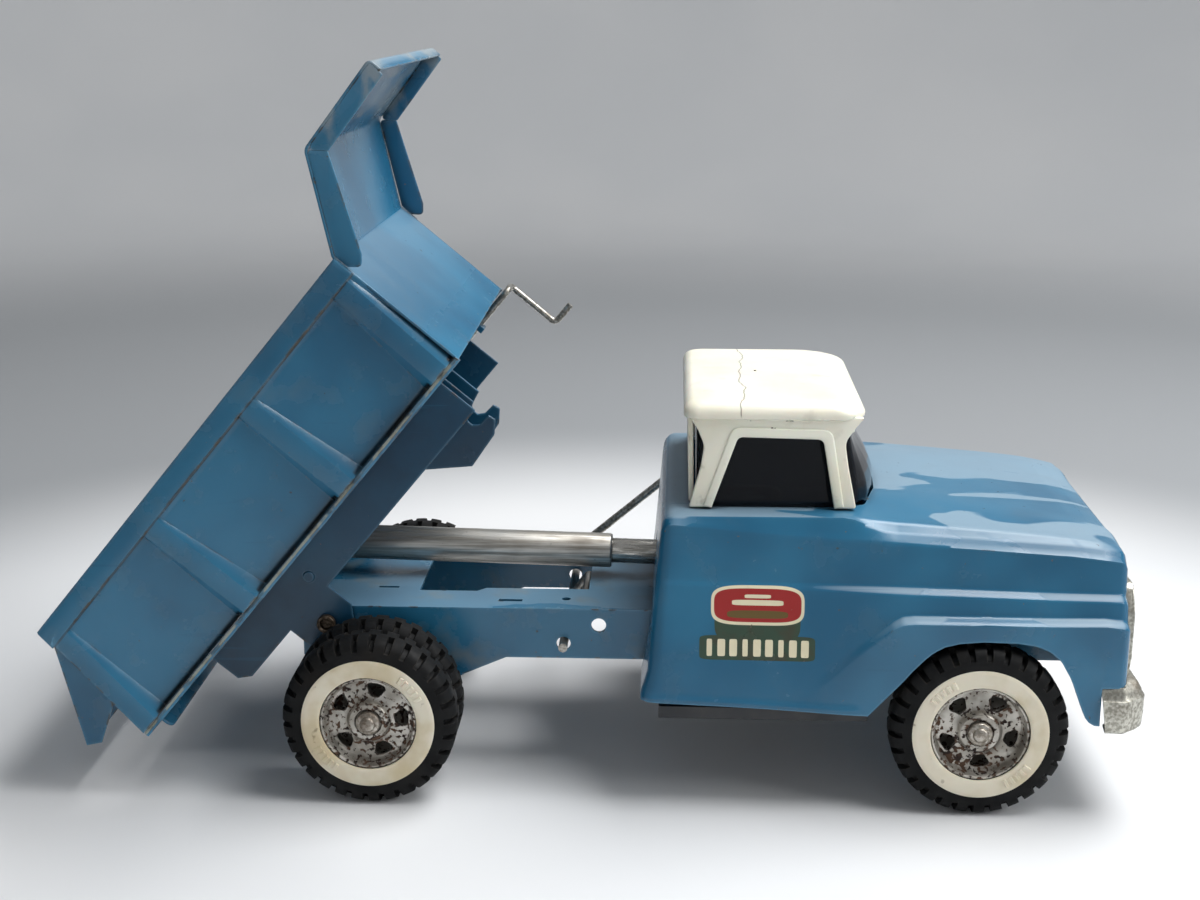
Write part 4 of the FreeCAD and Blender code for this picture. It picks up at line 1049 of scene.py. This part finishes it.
def glazing():
    """One smoked moulding: flat sides and back, and a windscreen that bows out below."""
    foot, head = ROOF_FOOT - 0.2, EAVE - 5.5
    rows = []
    for share in steps(0, 1, 12):
        z = blend(foot, head, share)
        reach = roof_side_reach(z) - 3.0
        bow = blend(1.0, 0.0, smooth_step(share, 0.1, 1.0))
        half = [(ROOF_X[0] + 4.6, 0.0), (ROOF_X[0] + 4.6, reach - 4), (ROOF_X[0] + 5.8, reach - 1.2),
                (ROOF_X[0] + 8.6, reach), (80.2, reach), (82.6, reach - 1.0),
                (blend(84.2, 84.8, bow), blend(42.0, 44.3, bow)),
                (blend(87.0, 90.2, bow), blend(41.4, 42.9, bow)),
                (blend(87.6, 94.0, bow), blend(37.0, 37.8, bow)),
                (blend(88.2, 97.0, bow), blend(24.0, 24.0, bow)),
                (blend(88.6, 98.6, bow), 10.0), (blend(88.6, 98.9, bow), 0.0)]
        full = half + [(x, -y) for x, y in half[-2:0:-1]]
        outline = fillet(full, [0, 0, 1.2, 2.2, 0, 1.5, 1.0, 2.0, 5, 8, 8, 8,
                                8, 8, 5, 2.0, 1.0, 1.5, 0, 2.2, 1.2, 0], 3)
        rows.append([(x, y, z) for x, y in outline])
    obj = grid_object("cab_glazing_moulding", rows, close_columns=True, sharp_angle=35)
    thicken(obj, 1.0)
    bake_modifiers(obj)
    return finish_piece(obj, GLASS, "chassis", "glazing", "cab_glazing")


glazing()


# --- grille and bumper

LAMP_Y, LAMP_Z = 48, 64


def grille():
    """A pressed plate with its edge turned back, level bars on posts, and two headlamps."""
    low, high = grille_low, grille_high
    bars = [50.5 + 3.3 * index for index in range(8)]
    outline = fillet([(-60, low.z), (60, low.z), (63, 54), (63, 70), (58, high.z), (-58, high.z),
                      (-63, 70), (-63, 54)], [3, 3, 4, 4, 4, 4, 4, 4], 4)
    opening = fillet(level_band(36, 49.5, 36, 76), 3, 4)
    plate_x = low.x + 0.2

    def put(depth_offset):
        return lambda a, b, d: (plate_x + depth_offset + d, a, b)

    rim_hole = [(y * 0.95, low.z + 1.6 + (z - low.z) * 0.9) for y, z in outline]
    pieces = [plate("face", outline, 1.2, put(0.7), [opening], 0.4),
              plate("rim", outline, 3.6, put(-0.8), [rim_hole], 0.4)]
    for z in bars:
        bar = fillet(level_band(36.5, z - 0.75, 36.5, z + 0.75), 0.5, 2)
        pieces.append(plate("bar", bar, 1.4, put(0.8), (), 0.5))
    for y in (-24, -12, 0, 12, 24):
        post = [(y - 0.6, 49), (y + 0.6, 49), (y + 0.6, 76), (y - 0.6, 76)]
        pieces.append(plate("post", post, 0.8, put(0.5), (), 0.2))
    for lamp_y in (-LAMP_Y, LAMP_Y):
        profile = [(0.6, 10.2), (1.8, 10.0), (2.6, 9.2), (2.6, 8.5), (1.5, 7.9), (1.6, 7.5), (2.6, 6.4),
                   (3.3, 4.4), (3.7, 2.2), (3.8, 0.0)]
        rows = [[(plate_x + out, lamp_y + r * math.cos(t), LAMP_Z + r * math.sin(t)) for t in circle(40)]
                for out, r in profile]
        pieces.append(grid_object("lamp", rows, close_columns=True, sharp_angle=50))
    obj = join(pieces, "grille_pressing")
    tidy_mesh(obj, 35)
    finish_piece(obj, PLATING, "chassis", "plating", "grille")


def bumper():
    """A channel swept across the nose and round both corners, with a stepped top."""
    low, high = bumper_low, bumper_high
    front = high.x - 1.1
    path = fillet([(low.x + 0.5, low.y + 0.7), (front - 7.3, low.y + 0.2), (front - 0.2, low.y + 6.0),
                   (front, 0), (front - 0.2, high.y - 6.0), (front - 7.3, high.y - 0.2),
                   (low.x + 0.5, high.y - 0.7)], [0, 4, 5, 200, 5, 4, 0], 6, closed=False)
    section = [(4.2, low.z + 1.0), (1.0, low.z + 0.1), (0.4, low.z + 0.8), (0.1, low.z + 5.0),
               (0.0, high.z - 4.4), (0.7, high.z - 3.8), (1.2, high.z - 2.2), (2.2, high.z - 0.4),
               (3.0, high.z), (6.2, high.z - 0.1)]
    rows = []
    for i, point in enumerate(path):
        here = Vector(point)
        before, after = Vector(path[max(i - 1, 0)]), Vector(path[min(i + 1, len(path) - 1)])
        run = (after - before).normalized()
        inward = Vector((-run.y, run.x))
        if inward.dot(Vector((low.x - 20, 0)) - here) < 0:
            inward.negate()
        at_end = i in (0, len(path) - 1)
        rows.append([(here.x + inward.x * d + (0.14 * (high.z - z) if at_end else 0),
                      here.y + inward.y * d, z) for d, z in section])
    obj = grid_object("front_bumper_pressing", rows, sharp_angle=45)
    thicken(obj, 1.0, 1.0, even=False)
    round_edges(obj, 0.25, 2, 40)
    finish_piece(obj, PLATING, "chassis", "plating", "front_bumper")


grille()
bumper()


# --- bed

RIM_TOP, BAND_FOOT = 75.5, 68.2
FLOOR_TOP, FLOOR_UNDER = 25.5, 24.5
REAR_TOP, REAR_FOOT, BED_FRONT = -54.5, -60.7, 112.0
RIBS = ((-51.0, -57.0), (1.0, 1.0), (54.5, 54.5), (105.6, 104.2))
RIB_HALF, RIB_FACE, BAND_FACE = 3.5, 71.1, 71.4
PANEL_TOP_Y, PANEL_FOOT_Y = 70.0, 66.5


def bed_side(side):
    """One side: a leaning panel with pressed ribs, under a band that is hemmed over."""
    columns = []            # (u at the top, u at the foot, slant at the top, at the foot, proud)
    for index, (top, foot) in enumerate(RIBS):
        if index > 0:
            columns.append((top - RIB_HALF, foot - RIB_HALF, -0.9, -4.2, False))
        columns.append((top - RIB_HALF, foot - RIB_HALF, 0, 0, True))
        columns.append((top + RIB_HALF, foot + RIB_HALF, 0, 0, True))
        columns.append((top + RIB_HALF, foot + RIB_HALF, 0.9, 4.2, False))
    columns.append((BED_FRONT, BED_FRONT, 0, 0, False))
    shares = [0, 0.06, 0.25, 0.45, 0.65, 0.85, 0.94, 1.0]
    rows = []
    for share in shares[::-1]:
        w = blend(BAND_FOOT - 0.1, FLOOR_TOP + 0.4, share)
        panel = blend(PANEL_TOP_Y, PANEL_FOOT_Y, share)
        row = []
        for top, foot, slant_top, slant_foot, proud in columns:
            u = blend(top, foot, share) + blend(slant_top, slant_foot, share)
            row.append(on_bed(u, side * (RIB_FACE if proud else panel), w))
        rows.append(row)
    band = [(BAND_FACE - 0.15, BAND_FOOT - 0.4), (BAND_FACE, BAND_FOOT - 0.1), (BAND_FACE, RIM_TOP - 0.8),
            (BAND_FACE - 0.6, RIM_TOP - 0.1), (BAND_FACE - 1.6, RIM_TOP - 0.1),
            (BAND_FACE - 2.2, RIM_TOP - 0.8), (BAND_FACE - 2.2, BAND_FOOT + 0.6)]
    for y, w in band:
        row = []
        for index, (top, _, slant, _, _) in enumerate(columns):
            rise = (w - BAND_FOOT) / (RIM_TOP - BAND_FOOT)
            u = top + slant
            if index == 0:
                u = REAR_TOP - 1.0 * (1 - rise)
            elif index == len(columns) - 1:
                u = BED_FRONT
            row.append(on_bed(u, side * y, w))
        rows.append(row)
    sheet = grid_object("side", rows, sharp_angle=30)
    thicken(sheet, 0.9)
    round_edges(sheet, 0.35, 2, 18)
    return sheet


def bed_floor():
    """The floor, its edges rolled out past the sides, and a lip turned down at the back."""
    half = [(0, FLOOR_UNDER), (68.4, FLOOR_UNDER), (68.9, FLOOR_UNDER - 0.7), (70.3, FLOOR_UNDER - 0.6),
            (70.7, FLOOR_UNDER + 0.3), (70.3, FLOOR_TOP + 0.2), (68.9, FLOOR_TOP + 0.3), (68.2, FLOOR_TOP),
            (0, FLOOR_TOP)]
    section = half + [(-y, w) for y, w in half[-2:0:-1]]
    rows = [[on_bed(u, y, w) for y, w in section] for u in (REAR_FOOT, REAR_FOOT + 0.1, 0, 60, BED_FRONT)]
    floor = capped_object("floor", rows, 40)
    lip = plate("lip", fillet(level_band(56, 19.0, 56, FLOOR_UNDER + 0.4), [3, 3, 0, 0], 5), 1.0,
                lambda a, b, d: on_bed(REAR_FOOT + 0.5 + d, a, b), (), 0.25)
    return [floor, lip]


bed_box = join([bed_side(-1), bed_side(1), *bed_floor()], "bed_box_pressing")
tidy_mesh(bed_box, 35)
finish_piece(bed_box, BED_PAINT, "bed", "bed_paint", "bed_box")

VISOR_Y = 69.5
VISOR_BEND, VISOR_FRONT = (133.4, 102.9), (167.2, 104.2)


def front_wall():
    """The front wall, bent forward over the cab, with flanges folded down along its sides."""
    line = fillet([(BED_FRONT + 0.1, FLOOR_UNDER), (BED_FRONT + 0.1, RIM_TOP), VISOR_BEND, VISOR_FRONT,
                   (VISOR_FRONT[0], VISOR_FRONT[1] - 4.2)], [0, 2.5, 2.5, 0.9, 0], 5, closed=False)
    rows = [[on_bed(u, y, w) for u, w in line]
            for y in (-VISOR_Y, -VISOR_Y + 2, -30, 0, 30, VISOR_Y - 2, VISOR_Y)]
    wall = grid_object("wall", rows, sharp_angle=40)
    thicken(wall, 0.9, 1.0)
    round_edges(wall, 0.2, 2, 50)
    flaps = [fillet([(BED_FRONT + 0.4, 70.4), (115.2, 66.8), (118.6, 69.4), (137.4, 97.6), VISOR_BEND,
                     (BED_FRONT + 0.5, RIM_TOP)], [0.8, 1.6, 1.6, 0.5, 1.2, 0.5], 4),
             fillet([VISOR_BEND, (137.6, 97.4), (VISOR_FRONT[0], VISOR_FRONT[1] - 5.6), VISOR_FRONT],
                    [1.2, 0.5, 0.8, 0.5], 4)]
    pieces = [wall]
    for side in (-1, 1):
        for flap in flaps:
            pieces.append(plate("flap", flap, 0.9,
                                lambda a, b, d, s=side: on_bed(a, s * (VISOR_Y - 0.45 + d), b), (), 0.25))
    return pieces


front_panel = join(front_wall(), "bed_front_pressing")
tidy_mesh(front_panel, 35)
finish_piece(front_panel, VISOR_PAINT, "bed", "bed_paint", "bed_front_panel")


# --- stage, light and camera

def stage():
    """A pale floor that sweeps up to a wall, well clear of the truck on every side, with painted shade:
    grey from a little way out, easing off far away.
    """
    floor_reach, sweep, wall_top = 1250, 500, 1000
    profile = [(0, 0), (300, 0), (floor_reach, 0)]    # (distance from the middle, height)
    for step in range(1, 13):
        turn = math.radians(90 * step / 12)
        profile.append((floor_reach + sweep * math.sin(turn), sweep * (1 - math.cos(turn))))
    profile.append((floor_reach + sweep, wall_top))
    rows = [[(radius * math.cos(t), radius * math.sin(t), height) for t in circle(96)]
            for radius, height in profile]
    floor = grid_object("floor", rows, close_columns=True)
    g = Graph("floor_paper")
    colour = g.mix(g.ramp(g.noise(4, 2), 0.3, 0.7), srgb(226, 227, 228), srgb(219, 221, 223))
    spread = g.node("ShaderNodeVectorMath", {0: g.place}, operation="LENGTH").outputs["Value"]
    # painted shade: the floor turns grey from about 0.3 m out and eases off again past 0.9 m
    ring = g.times(g.ramp(spread, 0.26, 0.48), g.ramp(spread, 0.9, 1.5, 1.0, 0.3))
    colour = g.mix(ring, colour, srgb(150, 153, 156))
    floor.data.materials.append(g.finish(colour, 0.6))


def area_light(name, place, target, width, depth, power):
    """A soft white light: its place, what it faces, its size, all in metres, and its watts."""
    light = bpy.data.lights.new(name, "AREA")
    light.shape = "RECTANGLE"
    light.size, light.size_y = width, depth
    light.energy = power
    obj = add_object(name, light)
    obj.location = place
    obj.rotation_euler = (Vector(target) - Vector(place)).to_track_quat("-Z", "Y").to_euler()


ROOM_STRENGTH = 0.28


def world():
    """A pale room, a little darker near the horizon."""
    scene_world = bpy.data.worlds.new("room")
    scene_world.use_nodes = True
    tree = scene_world.node_tree
    background = tree.nodes["Background"]
    place = tree.nodes.new("ShaderNodeTexCoord")
    split = tree.nodes.new("ShaderNodeSeparateXYZ")
    ramp = tree.nodes.new("ShaderNodeValToRGB")
    tree.links.new(place.outputs["Generated"], split.inputs[0])
    tree.links.new(split.outputs["Z"], ramp.inputs[0])
    tree.links.new(ramp.outputs[0], background.inputs["Color"])
    stops = ramp.color_ramp.elements    # from the horizon up
    stops[0].position, stops[0].color = 0.0, (0.36, 0.38, 0.40, 1)
    stops[1].position, stops[1].color = 0.75, (0.95, 0.96, 0.98, 1)
    stops.new(0.12).color = (0.42, 0.44, 0.46, 1)
    background.inputs["Strength"].default_value = ROOM_STRENGTH
    bpy.context.scene.world = scene_world


CAMERA_PLACE = (0.0272, -0.6167, 0.2693)
CAMERA_TILT, CAMERA_TURN = math.radians(75.36), math.radians(2.5)
SENSOR_WIDTH, LENS = 36.0, 52.13


def camera():
    data = bpy.data.cameras.new("camera")
    data.sensor_width = SENSOR_WIDTH
    data.lens = LENS
    data.dof.use_dof = False
    obj = add_object("camera", data)
    obj.location = CAMERA_PLACE
    obj.rotation_euler = (CAMERA_TILT, 0, CAMERA_TURN)
    bpy.context.scene.camera = obj


stage()
world()
area_light("overhead", (0.5, 0.12, 1.15), (0.0, 0.0, 0.05), 1.0, 0.6, 19)
area_light("front", (1.3, -0.42, 0.85), (-0.05, 0.0, 0.12), 0.6, 0.5, 7.5)
area_light("fill", (-0.5, -1.3, 0.7), (0.0, 0.0, 0.1), 1.2, 0.8, 0.6)
camera()
bpy.context.scene.view_settings.view_transform = "Standard"
